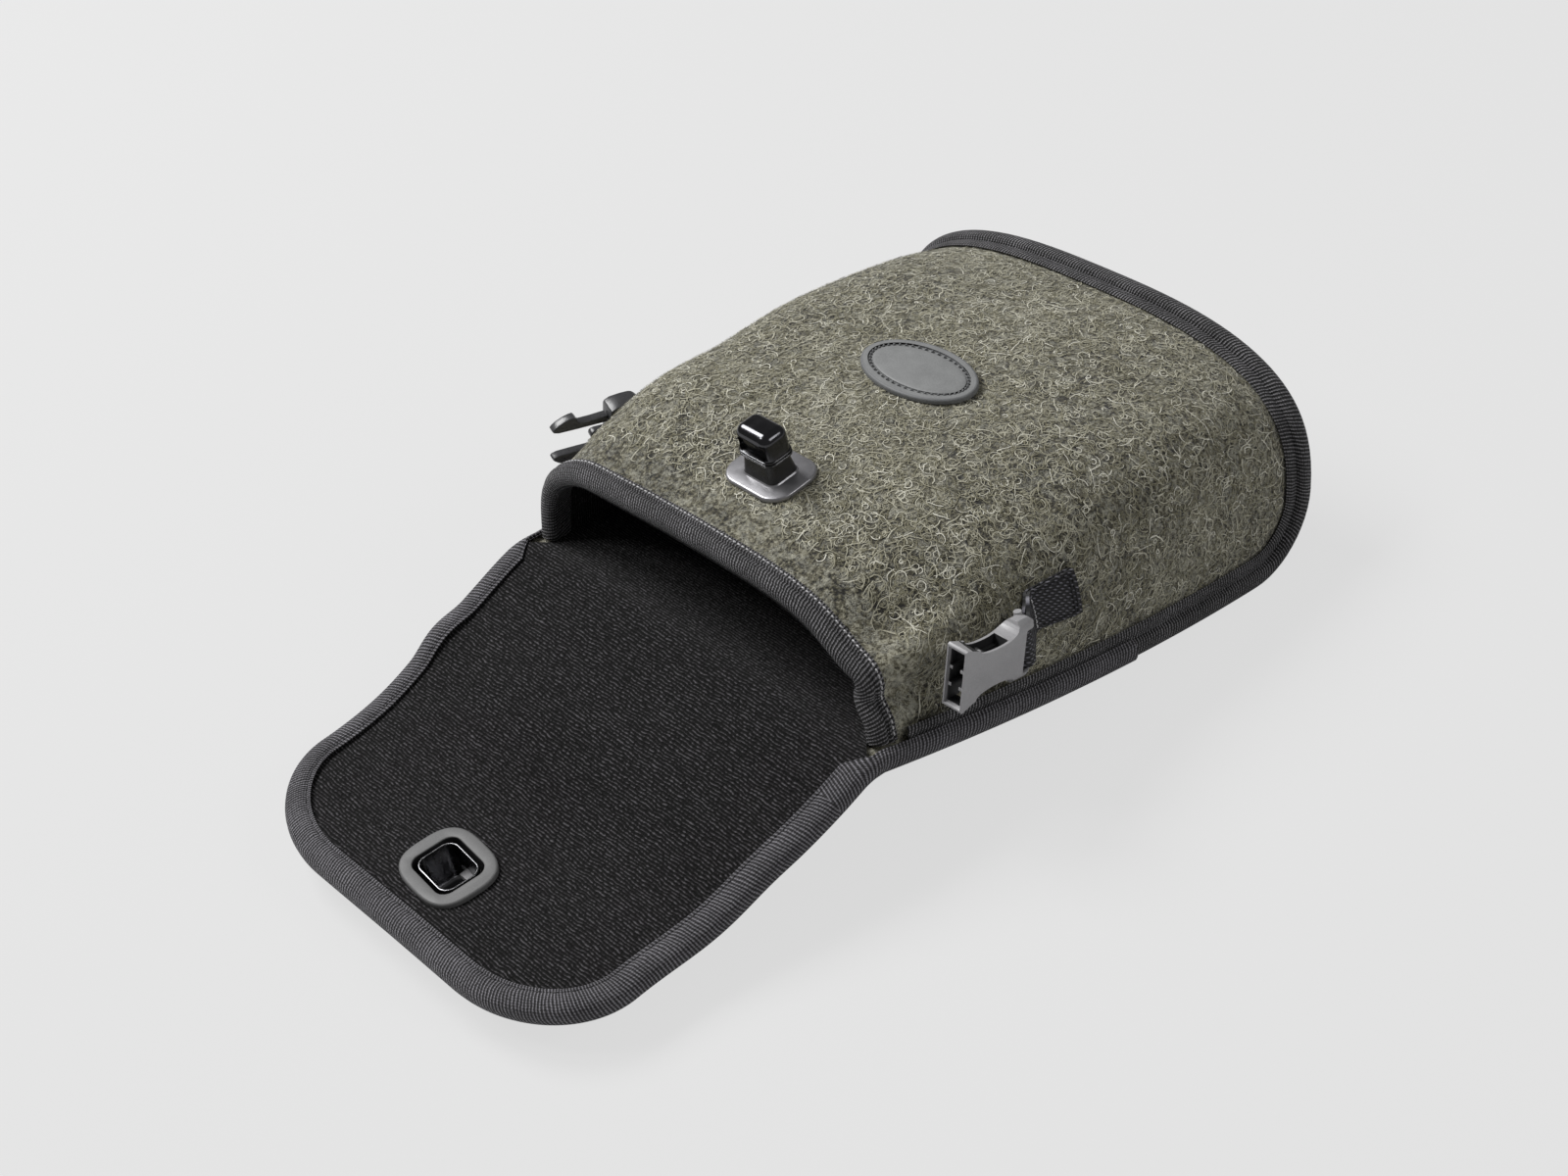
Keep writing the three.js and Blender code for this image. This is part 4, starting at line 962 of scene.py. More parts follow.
MOUTH_TOP, MOUTH_BOTTOM = GAP + TAPE - 0.1, -(FELT + LINING + 2 * GAP + TAPE) + 0.1
MOUTH_SECTION = MOUTH_EDGE, MOUTH_TOP, MOUTH_BOTTOM, MOUTH_LEG, MOUTH_LEG + 1
mouth_tape = tape("mouth_tape", mouth_spots(),
                  folded_path(*MOUTH_SECTION, 0.7, 2.0, lifts=TWO_ROWS))
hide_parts("mouth_binding")
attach(mouth_tape, "pouch")
print("mouth tape", len(mouth_tape.data.polygons), "faces")

# %% Tape round the side seams and the closed end
CLIMB = 5.2


def seam_spots(start=9.6, straight=44, bend=12, end=26):
    """Half of the seam, from the mouth to the middle of the closed end."""
    points, ups, overs = [], [], []
    for y in np.linspace(start, LENGTH - BOTTOM_BEND, straight):
        points.append((half_width(y), y, 0))
        ups.append((0, 0, 1))
        overs.append(arch(y, angle_at_height(y, CLIMB)))
    for turn in np.linspace(0, math.pi / 2, bend + 1)[1:]:
        y, z, up = end_bend(turn)
        point = arch(y, angle_at_height(y, z))
        higher = point + up * CLIMB
        points.append(point)
        ups.append(up)
        overs.append(arch(higher[1], angle_at_height(higher[1], higher[2])))
    first = angle_at_height(LENGTH, BOTTOM_BEND)
    for angle in np.linspace(first, math.pi / 2, end + 1)[1:]:
        points.append(arch(LENGTH, angle))
        ups.append((0, -1, 0))
        overs.append(arch(LENGTH - CLIMB, angle))
    spots = with_outward(points, ups)
    spots[-1] = (spots[-1][0], spots[-1][1], np.array([0, 0, 1.0]), 0)
    return [(p, u, o, float(np.dot(over - p, o)) / CLIMB)
            for (p, u, o, _), over in zip(spots, overs)]


def both_sides(half):
    return half + mirrored(half)[::-1][1:]


def seam_path():
    edge = SEAM_ALLOWANCE + GAP + TAPE
    path = [(0.9, CLIMB), (1.5, 4.5), (1.8, 3.7), (1.8, 2.8), (1.6, 1.9), (1.7, 1.3),
            (2.3, 1.15)]
    for turn in np.linspace(math.pi / 2, -math.pi / 2, 9):
        path.append((edge - 1.5 + 1.5 * math.cos(turn), -1.5 + 2.6 * math.sin(turn)))
    path += [(1.0, -4.1), (-1.0, -4.05), (-3.1, -3.95)]
    return np.array(path)


seam_tape = tape("seam_tape", both_sides(seam_spots()), seam_path())
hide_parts("seam_binding")
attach(seam_tape, "pouch")
print("seam tape", len(seam_tape.data.polygons), "faces")

# %% Flap tape: its tails along the back, and the length round the flap
TAIL_LENGTH = 88


def tail_spots(sign):
    """Spots along one tail; the waves of the open flap differ from side to side."""
    points, ups, paths = [], [], []
    edge = SEAM_ALLOWANCE + 1.8
    for s in np.linspace(ROOT, 1, 19):
        spot, up = flap_spot(s)
        spot[0] = x = root_width(edge, s)
        points.append(spot + up * float(flap_wave(sign * x, s)))
        ups.append(up)
        share = float(np.clip((s - 3) / 6, 0, 1))
        paths.append(tail_path(share))
    for y in np.linspace(0, TAIL_LENGTH, 40):
        points.append((half_width(y) + edge, y, 0))
        ups.append((0, 0, 1))
        paths.append(tail_path(0))
    spots = with_outward(points, ups)
    return (spots if sign > 0 else mirrored(spots)), paths


def tail_path(share):
    """Section of the flap's tape, from the back's edge (0) to the flap's edge (1)."""
    along_back = folded_path(0.2, 1.8, -4.8, 3.0, 8, 0.3, 2.2)
    return along_back * (1 - share) + flap_path() * share


FLAP_EDGE, FLAP_TOP, FLAP_LEG, FLAP_REACH = 0.2, 2.2, 8, 1.8


def flap_path(pucker=0.0):
    """Section of the flap's tape; it swells by pucker between two stitches."""
    return folded_path(FLAP_EDGE, FLAP_TOP, -3.9, FLAP_LEG, FLAP_LEG, 0.5 + pucker, FLAP_REACH)


for side, sign in (("right", 1), ("left", -1)):
    tail = tape("flap_tape_tail_" + side, *tail_spots(sign))
    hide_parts("flap_binding_tail_" + side)
    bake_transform(tail)


def flap_edge_spots():
    stations = np.concatenate([np.linspace(ROOT, CORNER_START, 72),
                               np.linspace(CORNER_START, FLAP_LENGTH, 46)[1:]])
    edge = flap_outline(stations, 0)
    edge += [(x, FLAP_LENGTH) for x in np.linspace(edge[-1][0], 0, 32)[1:]]
    edge += [(-x, s) for x, s in edge[::-1][1:]]
    points, ups = [], []
    for x, s in edge:
        spot, up = flap_spot(s)
        spot[0] = x
        points.append(spot + up * float(flap_wave(x, s)))
        ups.append(up)
    return [(point, up, -out, lean) for point, up, out, lean in with_outward(points, ups)]


def runs(spots):
    """Length along an edge up to each of its spots."""
    return run_along(np.array([spot[0] for spot in spots]))


STITCH_PITCH = 4.6
edge_spots = flap_edge_spots()
edge_runs = runs(edge_spots)
puckers = 0.22 * abs(np.sin(math.pi * edge_runs / STITCH_PITCH))
flap_tape = tape("flap_tape", edge_spots, [flap_path(value) for value in puckers])
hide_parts("flap_front_binding", "flap_top_binding_right", "flap_top_binding_left")
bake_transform(flap_tape)
print("flap tape", len(flap_tape.data.polygons), "faces")

# %% Back felt and lining baked in place
for piece in (back_felt, back_knit):
    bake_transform(piece)

# %% [markdown]
# The lock, the badge and the buckle are moulded or die cast. Each is modelled as by hand,
# in millimetres in its own axes: a flat outline is extruded, its edges are rounded, and
# openings are cut with a boolean. Last it is seated on the pouch, in metres.

# %% Helpers for the hard pieces
def edit(piece, mode="FACE"):
    select_only(piece)
    bpy.ops.object.mode_set(mode="EDIT")
    bpy.ops.mesh.select_mode(type=mode)


def plate(name, outline, low, high):
    """A flat outline in x and y, extruded from low to high."""
    bpy.ops.object.select_all(action="DESELECT")
    bpy.ops.mesh.primitive_circle_add(vertices=len(outline), radius=1, fill_type="NGON")
    piece = bpy.context.object
    piece.name = piece.data.name = name
    for vertex, (x, y) in zip(piece.data.vertices, outline):
        vertex.co = (x, y, low)
    edit(piece)
    bpy.ops.mesh.select_all(action="SELECT")
    bpy.ops.mesh.extrude_region_move(TRANSFORM_OT_translate={"value": (0, 0, high - low)})
    bpy.ops.object.mode_set(mode="OBJECT")
    outward(piece)
    return piece


def rounded_outline(width, length, corner, steps=8):
    """Corner points of a rounded rectangle, anticlockwise."""
    points = []
    for quarter, (sx, sy) in enumerate(((1, 1), (-1, 1), (-1, -1), (1, -1))):
        for i in range(steps + 1):
            turn = math.pi / 2 * (quarter + i / steps)
            points.append((sx * (width / 2 - corner) + corner * math.cos(turn),
                           sy * (length / 2 - corner) + corner * math.sin(turn)))
    return points


def raise_top(piece, rise, scale=(1, 1)):
    """Extrudes the highest face by rise and scales it about the middle."""
    top = max(v.co.z for v in piece.data.vertices)
    for face in piece.data.polygons:
        face.select = face.center.z > top - 1e-4
    edit(piece)
    bpy.ops.mesh.extrude_region_move(TRANSFORM_OT_translate={"value": (0, 0, rise)})
    bpy.ops.transform.resize(value=(*scale, 1), center_override=(0, 0, 0))
    bpy.ops.object.mode_set(mode="OBJECT")


def round_edges(piece, width, segments, test):
    """Bevels the edges whose middle and two face normals pass a test."""
    mesh = piece.data
    normals = {}
    for face in mesh.polygons:
        for key in face.edge_keys:
            normals.setdefault(key, []).append(face.normal.copy())
    for item in (*mesh.vertices, *mesh.polygons):
        item.select = False
    for edge in mesh.edges:
        a, b = (mesh.vertices[i].co for i in edge.vertices)
        sharp = normals[edge.key][0].angle(normals[edge.key][-1], 0) > math.radians(40)
        edge.select = bool(sharp and test((a + b) / 2))
    edit(piece, "EDGE")
    bpy.ops.mesh.bevel(offset=width, segments=segments, affect="EDGES", clamp_overlap=True)
    bpy.ops.object.mode_set(mode="OBJECT")


def in_order(piece):
    """Sorts corners and faces by place, since a boolean's own order differs between runs."""
    mesh = piece.data
    places = [vertex.co[:] for vertex in mesh.vertices]
    order = sorted(range(len(places)), key=lambda i: tuple(round(c, 4) for c in places[i]))
    rank = {old: new for new, old in enumerate(order)}
    faces = []
    for face in mesh.polygons:
        ring = [rank[i] for i in face.vertices]
        first = ring.index(min(ring))
        faces.append(tuple(ring[first:] + ring[:first]))
    mesh.clear_geometry()
    mesh.from_pydata([places[i] for i in order], [], sorted(faces))
    mesh.update()


def boolean(piece, tool, operation="DIFFERENCE"):
    apply_modifier(piece, "BOOLEAN", operation=operation, solver="EXACT", object=tool)
    bpy.data.objects.remove(tool)


def cut_away(piece, *tools, operation="DIFFERENCE"):
    for tool in tools:
        boolean(piece, tool, operation)
        in_order(piece)
    return piece


def join_in(piece, *tools):
    return cut_away(piece, *tools, operation="UNION")


def soften(piece, width, segments=2, degrees=40):
    """Rounds all the sharp edges of a finished piece by a little."""
    apply_modifier(piece, "BEVEL", width=width, segments=segments, limit_method="ANGLE",
                   angle_limit=math.radians(degrees), use_clamp_overlap=True)
    outward(piece)


def moved(piece, *place, upright=False):
    """Moves a plate to its place, and first turns it from lying flat to standing."""
    if upright:
        piece.data.transform(Matrix.Rotation(math.radians(90), 4, "X"))
    piece.data.transform(Matrix.Translation(place))
    return piece


def paint(piece, axes, choose, *materials):
    """Gives each face the material that its place in the piece's axes chooses."""
    cover(piece, *materials)
    back = axes.inverted()
    for face in piece.data.polygons:
        face.material_index = int(choose(back @ face.center))


def seat(piece, matrix, *nodes, body, slot, material):
    """Carries a finished piece to its place and gives it body and finish; its slot is not used.
    """
    piece.data.transform(matrix)
    piece.data.update()
    smooth(piece, 35)
    cover(piece, material)
    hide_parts(*nodes)
    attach(piece, body)
    print(piece.name, len(piece.data.polygons), "faces")


def on_pouch(origin, angle):
    """Matrix of axes on the pouch: x across, y and z turned about x by an angle."""
    c, s = math.cos(TILT + angle), math.sin(TILT + angle)
    return settled_matrix(settled(origin)[0] * 1000, (1, 0, 0), (0, c, s), (0, -s, c))


def front_slope(y):
    return math.atan((depth(y + 0.01) - depth(y - 0.01)) / 0.02)


POST_SEAT, BADGE_SEAT = (on_pouch((0, y, depth(y)), front_slope(y)) for y in (POST_AT, BADGE_AT))
lock_spot, lock_up = flap_spot(LOCK_AT)
LOCK_SEAT = on_pouch(lock_spot, math.atan2(-lock_up[1], lock_up[2]))
print("lock seat", [round(v, 4) for v in LOCK_SEAT.translation])

# %% [markdown]
# The lock post is a cast plate with a satin black stem that tapers up to its head. The
# plate is black nickel, so one side mirrors the pale room and the other the dark stem.

# %% Plate and stem of the lock post
stem = plate("post_plate", rounded_outline(25, 19.6, 6.5, 10), 0.3, 1.5)
round_edges(stem, 0.7, 4, lambda spot: spot.z > 1.4)
foot = plate("foot", rounded_outline(14.4, 11.2, 2.6), 1.2, 1.5)
raise_top(foot, 0.35, (0.95, 0.94))
raise_top(foot, 0.5, (0.975, 0.97))
raise_top(foot, 6.1, (0.9, 0.78))
join_in(stem, foot)
seat(stem, POST_SEAT, "lock_post_base", body="pouch", slot="satin_black", material=DARK_NICKEL)
paint(stem, POST_SEAT, lambda spot: spot.z > 1.9, DARK_NICKEL, SATIN_BLACK)

# %% [markdown]
# The head is polished black nickel: a block with a soft crown, two lips round its foot and
# a deep recess on the mouth's side, where the nose of the latch catches. The outer faces of
# the two lips take a paler chrome as a painted highlight.

# %% Head of the lock post
head = plate("post_head", rounded_outline(14.7, 10.3, 3.0), 8.0, 8.7)
round_edges(head, 0.25, 3, lambda spot: True)
seam = plate("seam", rounded_outline(13.9, 9.7, 2.7), 8.6, 9.1)
band = plate("band", rounded_outline(14.5, 10.2, 3.0), 9.1, 9.6)
round_edges(band, 0.22, 3, lambda spot: True)
crown = plate("crown", rounded_outline(13.8, 9.6, 3.0), 9.4, 17.6)
round_edges(crown, 2.9, 9, lambda spot: spot.z > 17.4)
join_in(head, seam, band, crown)
recess = plate("recess", rounded_outline(11.4, 5.0, 1.8), 0, 3.4)
cut_away(head, moved(recess, 0, -3.3, 12.2, upright=True))
soften(head, 0.15, 2)
seat(head, POST_SEAT, "lock_post_head", body="pouch", slot="gloss_black", material=GLOSS_BLACK)
# The outer faces of the two lips take the paler chrome as a painted highlight.
paint(head, POST_SEAT,
      lambda spot: spot.z < 9.6 and (abs(spot.x) > 6.95 or abs(spot.y) > 4.85),
      GLOSS_BLACK, CUP_CHROME_AND_PAINTED_LIP_HIGHLIGHT)

# %% [markdown]
# The badge is an oval of moulded rubber: a smooth ring, a groove with raised stitches in
# it and a shallow dome with a fine grain. The groove itself is painted near black as
# shade. It is left bare of any words.

# %% Badge
def oval(width, length, steps=96):
    return [(width / 2 * math.cos(2 * math.pi * i / steps),
             length / 2 * math.sin(2 * math.pi * i / steps)) for i in range(steps)]


BADGE_WIDTH, BADGE_LENGTH, DOME_STEPS = 42, 25, 8
GROOVE_HALF_WIDTH, GROOVE_HALF_LENGTH = BADGE_WIDTH / 2 - 3.05, BADGE_LENGTH / 2 - 3.05
badge = plate("oval_badge", oval(BADGE_WIDTH, BADGE_LENGTH), 0.3, 1.8)
round_edges(badge, 0.8, 5, lambda spot: spot.z > 1.7)
groove = plate("groove", oval(BADGE_WIDTH - 4.6, BADGE_LENGTH - 4.6), 1.15, 3)
field = plate("field", oval(BADGE_WIDTH - 7.6, BADGE_LENGTH - 7.6), 1.0, 1.6)
for step in range(DOME_STEPS):
    low, high = (math.pi / 2 * k / DOME_STEPS for k in (step, step + 1))
    rise = 0.6 * (math.sin(high) - math.sin(low))
    raise_top(field, rise, (max(math.cos(high), 0.04) / math.cos(low),) * 2)
cut_away(badge, groove)
join_in(badge, field)
seat(badge, BADGE_SEAT, "badge", body="pouch", slot="badge_rubber", material=BADGE_RUBBER)


def badge_zone(spot):
    """Field within the groove, groove, or rim."""
    ring = math.hypot(spot.x / GROOVE_HALF_WIDTH, spot.y / GROOVE_HALF_LENGTH)
    return 2 if ring < 0.95 else 1 if ring < 1.07 and spot.z < 1.72 else 0


# The groove between ring and field is painted near black as shade.
paint(badge, BADGE_SEAT, badge_zone, BADGE_RUBBER, PAINTED_SHADE_BLACK, BADGE_FIELD)

# %% Stitches of the badge, one modelled and copied round the groove
def one_stitch(name, length, thickness):
    """A short thread, thick in its middle and dipping at both ends, along x."""
    bpy.ops.object.select_all(action="DESELECT")
    bpy.ops.mesh.primitive_cylinder_add(vertices=6, radius=thickness / 2, depth=length,
                                        rotation=(0, math.pi / 2, 0))
    bpy.ops.object.transform_apply(rotation=True)
    piece = bpy.context.object
    piece.name = name
    edit(piece)
    for cut_at in (-0.3, 0, 0.3):
        bpy.ops.mesh.select_all(action="SELECT")
        bpy.ops.mesh.bisect(plane_co=(cut_at * length, 0, 0), plane_no=(1, 0, 0))
    bpy.ops.object.mode_set(mode="OBJECT")
    for vertex in piece.data.vertices:
        share = 2 * vertex.co.x / length
        vertex.co.y *= 1 - 0.35 * share ** 2
        vertex.co.z = vertex.co.z * (1 - 0.35 * share ** 2) - 0.45 * thickness * share ** 4
    return piece


def stitch_row(name, length, thickness, places, on_floor=False):
    """Copies of one stitch at many places (point, direction, up), joined in one mesh."""
    pattern = one_stitch(name + "_pattern", length, thickness)
    spots = np.array([v.co[:] for v in pattern.data.vertices])
    shapes = [tuple(f.vertices) for f in pattern.data.polygons]
    bpy.data.objects.remove(pattern)
    points, faces = [], []
    for point, along, up in places:
        base = len(points) * len(spots)
        points.append(point + spots @ np.stack([along, np.cross(up, along), up]))
        faces += [tuple(base + i for i in shape) for shape in shapes]
    points = np.concatenate(points)
    piece = new_object(name, unsettled(points) if on_floor else points, faces)
    smooth(piece, 60)
    print(name, len(places), "stitches")
    return piece


def unit(vector):
    return np.asarray(vector, float) / np.linalg.norm(vector)


BADGE_STITCHES = 46
c, s = math.cos(front_slope(BADGE_AT)), math.sin(front_slope(BADGE_AT))
badge_axes = np.array([[1, 0, 0], [0, c, s], [0, -s, c]])
places = []
for turn in np.arange(BADGE_STITCHES) * 2 * math.pi / BADGE_STITCHES:
    c, s = math.cos(turn), math.sin(turn)
    spot = np.array([GROOVE_HALF_WIDTH * c, GROOVE_HALF_LENGTH * s, 1.62])
    way = unit((-GROOVE_HALF_WIDTH * s, GROOVE_HALF_LENGTH * c, 0))
    places.append((spot @ badge_axes + (0, BADGE_AT, depth(BADGE_AT)), way @ badge_axes,
                   badge_axes[2]))
badge_stitches = stitch_row("badge_stitches", 0.8, 0.8, places)
cover(badge_stitches, BADGE_RUBBER)
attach(badge_stitches, "pouch")

# %% [markdown]
# The lock in the flap has a matt grey frame on the lining. The inner walls of its opening
# are painted near black as shade, and in the opening sits a polished cup with a thin bright
# rim, which the post's head enters.

# %% Opening for the lock through felt and lining
def cut_cloth(sheet, tool):
    """Cuts an opening and gives every corner its rest place and its lengths again."""
    mesh = sheet.data
    lengths, places = np.zeros(len(mesh.vertices) * 3), np.zeros(len(mesh.vertices) * 3)
    mesh.attributes["along"].data.foreach_get("vector", lengths)
    mesh.vertices.foreach_get("co", places)
    lengths, before = lengths.reshape(-1, 3), unsettled(places * 1000)
    tree = KDTree(len(before))
    for i, point in enumerate(before):
        tree.insert(point, i)
    tree.balance()
    boolean(sheet, tool)
    places = np.zeros(len(mesh.vertices) * 3)
    mesh.vertices.foreach_get("co", places)
    now = unsettled(places * 1000)
    nearest = np.array([tree.find(point)[1] for point in now])
    moved = now - before[nearest]
    moved[:, 2] = 0
    for key, values in (("rest", now), ("along", lengths[nearest] + moved)):
        mesh.attributes[key].data.foreach_set("vector", values.astype(np.float32).reshape(-1))


for sheet in (flap_felt, flap_knit):
    hole = plate("hole", rounded_outline(21.2, 18, 4.6, 8), -8, 8)
    hole.data.transform(LOCK_SEAT)
    cut_cloth(sheet, hole)
    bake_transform(sheet)

# %% Frame of the lock
def bowed_outline(width, length, power, steps=72):
    """A soft rectangle with bowed sides, as corner points."""
    points = []
    for i in range(steps):
        c, s = math.cos(2 * math.pi * i / steps), math.sin(2 * math.pi * i / steps)
        points.append((width / 2 * math.copysign(abs(c) ** (2 / power), c),
                       length / 2 * math.copysign(abs(s) ** (2 / power), s)))
    return points


LOCK_TURN = Matrix.Rotation(math.radians(-5), 4, "Z")


def in_opening(spot, half=9.5):
    return abs(spot.x) < half and abs(spot.y) < 7.9


flange = plate("lock_flange", bowed_outline(28, 23.2, 3.0), 1.6, 3.1)
join_in(flange, plate("collar", rounded_outline(20.4, 17.2, 4.4, 10), -3.0, 2.4))
cut_away(flange, plate("opening", rounded_outline(18.6, 15.2, 3.6, 10), -4, 4))
round_edges(flange, 0.75, 5, lambda spot: spot.z > 3 and not in_opening(spot))
round_edges(flange, 0.3, 3, lambda spot: spot.z > 3 and in_opening(spot))
flange.data.transform(LOCK_TURN)
seat(flange, LOCK_SEAT, "lock_frame", body="flap_front", slot="grey_plastic",
     material=PLATE_GREY)
# The inner walls of the frame's opening are painted near black as shade.
paint(flange, LOCK_SEAT @ LOCK_TURN, lambda spot: spot.z < 2.7 and in_opening(spot, 9.6),
      PLATE_GREY, PAINTED_SHADE_BLACK)

# %% Cup of the lock
well = plate("lock_well", rounded_outline(16.6, 12.8, 3.7, 10), -11.0, 2.6)
round_edges(well, 1.8, 4, lambda spot: spot.z < -10)
hollow = plate("hollow", rounded_outline(15.6, 11.6, 3.2, 10), -10.3, 4)
round_edges(hollow, 1.5, 4, lambda spot: spot.z < -10)
nose_slot = plate("nose_slot", rounded_outline(6.6, 3, 0.3, 3), -7.35, -5.25)
cut_away(well, hollow, moved(nose_slot, 0, 6.2, 0))
round_edges(well, 0.2, 3, lambda spot: spot.z > 2.5)
well.data.transform(LOCK_TURN)
seat(well, LOCK_SEAT, "lock_cup", body="flap_front", slot="gloss_black", material=CUP_CHROME_AND_PAINTED_LIP_HIGHLIGHT)

# %% Housing on the outside of the flap
KEY_LEVEL = -6.3
case = plate("lock_case", rounded_outline(32, 27, 5, 10), -12.7, -3.3)
round_edges(case, 1.6, 5, lambda spot: spot.z < -12)
inside = plate("inside", rounded_outline(29, 24, 3.5, 8), -11.2, -2)
window = plate("window", rounded_outline(12.6, 4.6, 0.8, 3), 0, 8)
moved(window, 0, -8, KEY_LEVEL, upright=True)
panel = plate("panel", rounded_outline(24, 19, 3.4, 8), -13.5, -12.35)
seam_ring = plate("seam_ring", rounded_outline(33, 28, 5.5, 10), -4.7, -4.45)
cut_away(seam_ring, plate("seam_core", rounded_outline(31.5, 26.5, 4.8, 10), -5, -4))
cut_away(case, inside, window, panel, seam_ring)
soften(case, 0.15)
seat(case, LOCK_SEAT, "lock_housing", body="flap_front", slot="satin_black",
     material=SATIN_BLACK)

# %% Release button, with three ridges for the finger
key = plate("release_key", rounded_outline(12, 4, 0.7, 4), 0, 5.4)
moved(key, 0, -11.1, KEY_LEVEL, upright=True)
for height in (-1.1, 0, 1.1):
    line = plate("line", rounded_outline(9, 0.5, 0.24, 3), 0, 1)
    cut_away(key, moved(line, 0, -16.1, KEY_LEVEL + height, upright=True))
soften(key, 0.2)
seat(key, LOCK_SEAT, "release_button", body="release", slot="gloss_black", material=GLOSS_BLACK)

# %% [markdown]
# The buckle is a side release one of moulded acetal, drawn in two copies of its plastic:
# a pale one on the socket, which carries painted light, and a darker one on the fork, partly
# its own colour and partly painted shade. The socket's waist is scooped from both sides, so
# its inside shows as a window, whose inner faces carry painted shade, and the cover over
# the bar hides the loop of webbing. The fork has two springy prongs with barbs and a guide
# between them.

# %% Axes of the two halves of the buckle
SOCKET_SEAT = settled_matrix((84.643, 18.795, 43.011), (0.01578, 0.99397, -0.10850),
                             (0.98459, 0.00346, 0.17482), (0.17414, -0.10958, -0.97860))
FORK_SEAT = settled_matrix((-79.468, 18.795, 43.011), (0.27278, 0.94953, -0.15487),
                           (-0.94618, 0.29391, 0.13546), (0.17414, 0.10958, 0.97860))


def laid_flat(matrix):
    """Matrix for a piece drawn with its length on x, width on y and thickness on z."""
    return matrix @ Matrix(((1, 0, 0, 0), (0, 0, 1, 0), (0, -1, 0, 0), (0, 0, 0, 1)))


def waisted(half, waist, end, band, mouth, tip=1.6, corner=2.6):
    """Outline of the socket: rounded ends at the bar, scooped waist, square mouth."""
    side = []
    for i in range(7):
        turn = math.pi / 2 * i / 6
        side.append((tip - corner + corner * math.cos(turn),
                     half - corner + corner * math.sin(turn)))
    middle, reach = (end + band) / 2, (end - band) / 2
    for i in range(15):
        turn = math.pi * i / 14
        rise = half - waist if i < 7 else half - 1.6 - waist
        side.append((middle + reach * math.cos(turn), waist + rise * (1 - math.sin(turn) ** 0.8)))
    side += [(band - 0.8, half - 1.5), (mouth + 0.6, half + 0.1), (mouth, half - 0.4)]
    return side + [(x, -y) for x, y in reversed(side)]


def bar(half):
    """The round bar that the webbing loops round, as long as twice half."""
    return moved(plate("rod", oval(2.3, 2.3, 20), -half, half), 0, 0, 0, upright=True)


# %% Socket of the buckle
def side_profile(first, last, half, width):
    """Side view of a buckle half: flat faces and a round end over the bar."""
    points = [(first, -half), (last - half, -half)]
    points += [(last - half + half * math.sin(t), -half * math.cos(t))
               for t in np.linspace(0, math.pi, 13)[1:-1]]
    points += [(last - half, half), (first, half)]
    return moved(plate("side", points, -width, width), 0, 0, 0, upright=True)


def round_lobes(piece, first, last, start):
    """Thins both ends of the bar's side to thumb shapes, after cuts along the length.

    The faces are split into triangles first, which stay flat, so later cuts are stable."""
    edit(piece)
    for at in (5.8, 6.8, 7.6, 8.3, 8.9):
        for sign in (1, -1):
            bpy.ops.mesh.select_all(action="SELECT")
            bpy.ops.mesh.bisect(plane_co=(0, sign * at, 0), plane_no=(0, 1, 0))
    bpy.ops.mesh.select_all(action="SELECT")
    bpy.ops.mesh.quads_convert_to_tris(quad_method="SHORTEST_DIAGONAL", ngon_method="BEAUTY")
    bpy.ops.object.mode_set(mode="OBJECT")
    for vertex in piece.data.vertices:
        past = min(max((abs(vertex.co.y) - first) / (last - first), 0), 0.93)
        share = float(ease(vertex.co.x, start, start + 3))
        vertex.co.z *= 1 - share * (1 - math.sqrt(1 - past * past))


socket = plate("buckle_socket", waisted(9.5, 5.6, -5.0, -21.2, -27, corner=3.4), -4, 4)
cut_away(socket, side_profile(-28, 2.0, 3.3, 12), operation="INTERSECT")
round_lobes(socket, 5.8, 9.6, -8.5)
chamber = plate("chamber", [(-28, -8.1), (-9.4, -8.1), (-9.4, 8.1), (-28, 8.1)], -2.5, 2.5)
flare = plate("flare", [(-28, -8.9), (-25.8, -8.1), (-25.8, 8.1), (-28, 8.9)], -2.85, 2.85)
loop_room = plate("loop_room", [(-3.4, -7.6), (5, -7.6), (5, 7.6), (-3.4, 7.6)], -4, 2.35)
loop_window = plate("loop_window", rounded_outline(12, 13.4, 0.8, 5), 0, 4)
cut_away(socket, chamber, flare, loop_room, moved(loop_window, 3.2, 0, 0))
for lane in (-2.6, 2.6):
    for level in (-1.85, 1.85):
        rail = [(-26.4, lane - 0.5), (-9, lane - 0.5), (-9, lane + 0.5), (-26.4, lane + 0.5)]
        join_in(socket, plate("guide", rail, level - 0.5, level + 0.5))
join_in(socket, moved(plate("stop", rounded_outline(1.2, 10, 0.4, 2), -2.3, 2.3), -17.5, 0, 0))
soften(socket, 0.4, 3, 30)
LEAN = (Matrix.Rotation(math.radians(-3), 4, "Z") @ Matrix.Rotation(math.radians(11), 4, "X")
        @ Matrix.Rotation(math.radians(-8), 4, "Y"))
LEAN = Matrix.Translation((0, 0, 1.6)) @ LEAN  # lifted 1.6 mm along its bar, as in the photo
flat_axes = laid_flat(Matrix.Identity(4))
socket.data.transform(flat_axes.inverted() @ LEAN @ flat_axes)
join_in(socket, bar(8.6))
# The socket takes the pale copy of the buckle's plastic, which carries painted light.
seat(socket, laid_flat(SOCKET_SEAT), "right_buckle_socket", body="right_socket",
     slot="buckle_plastic", material=ACETAL_WITH_PAINTED_LIGHT)
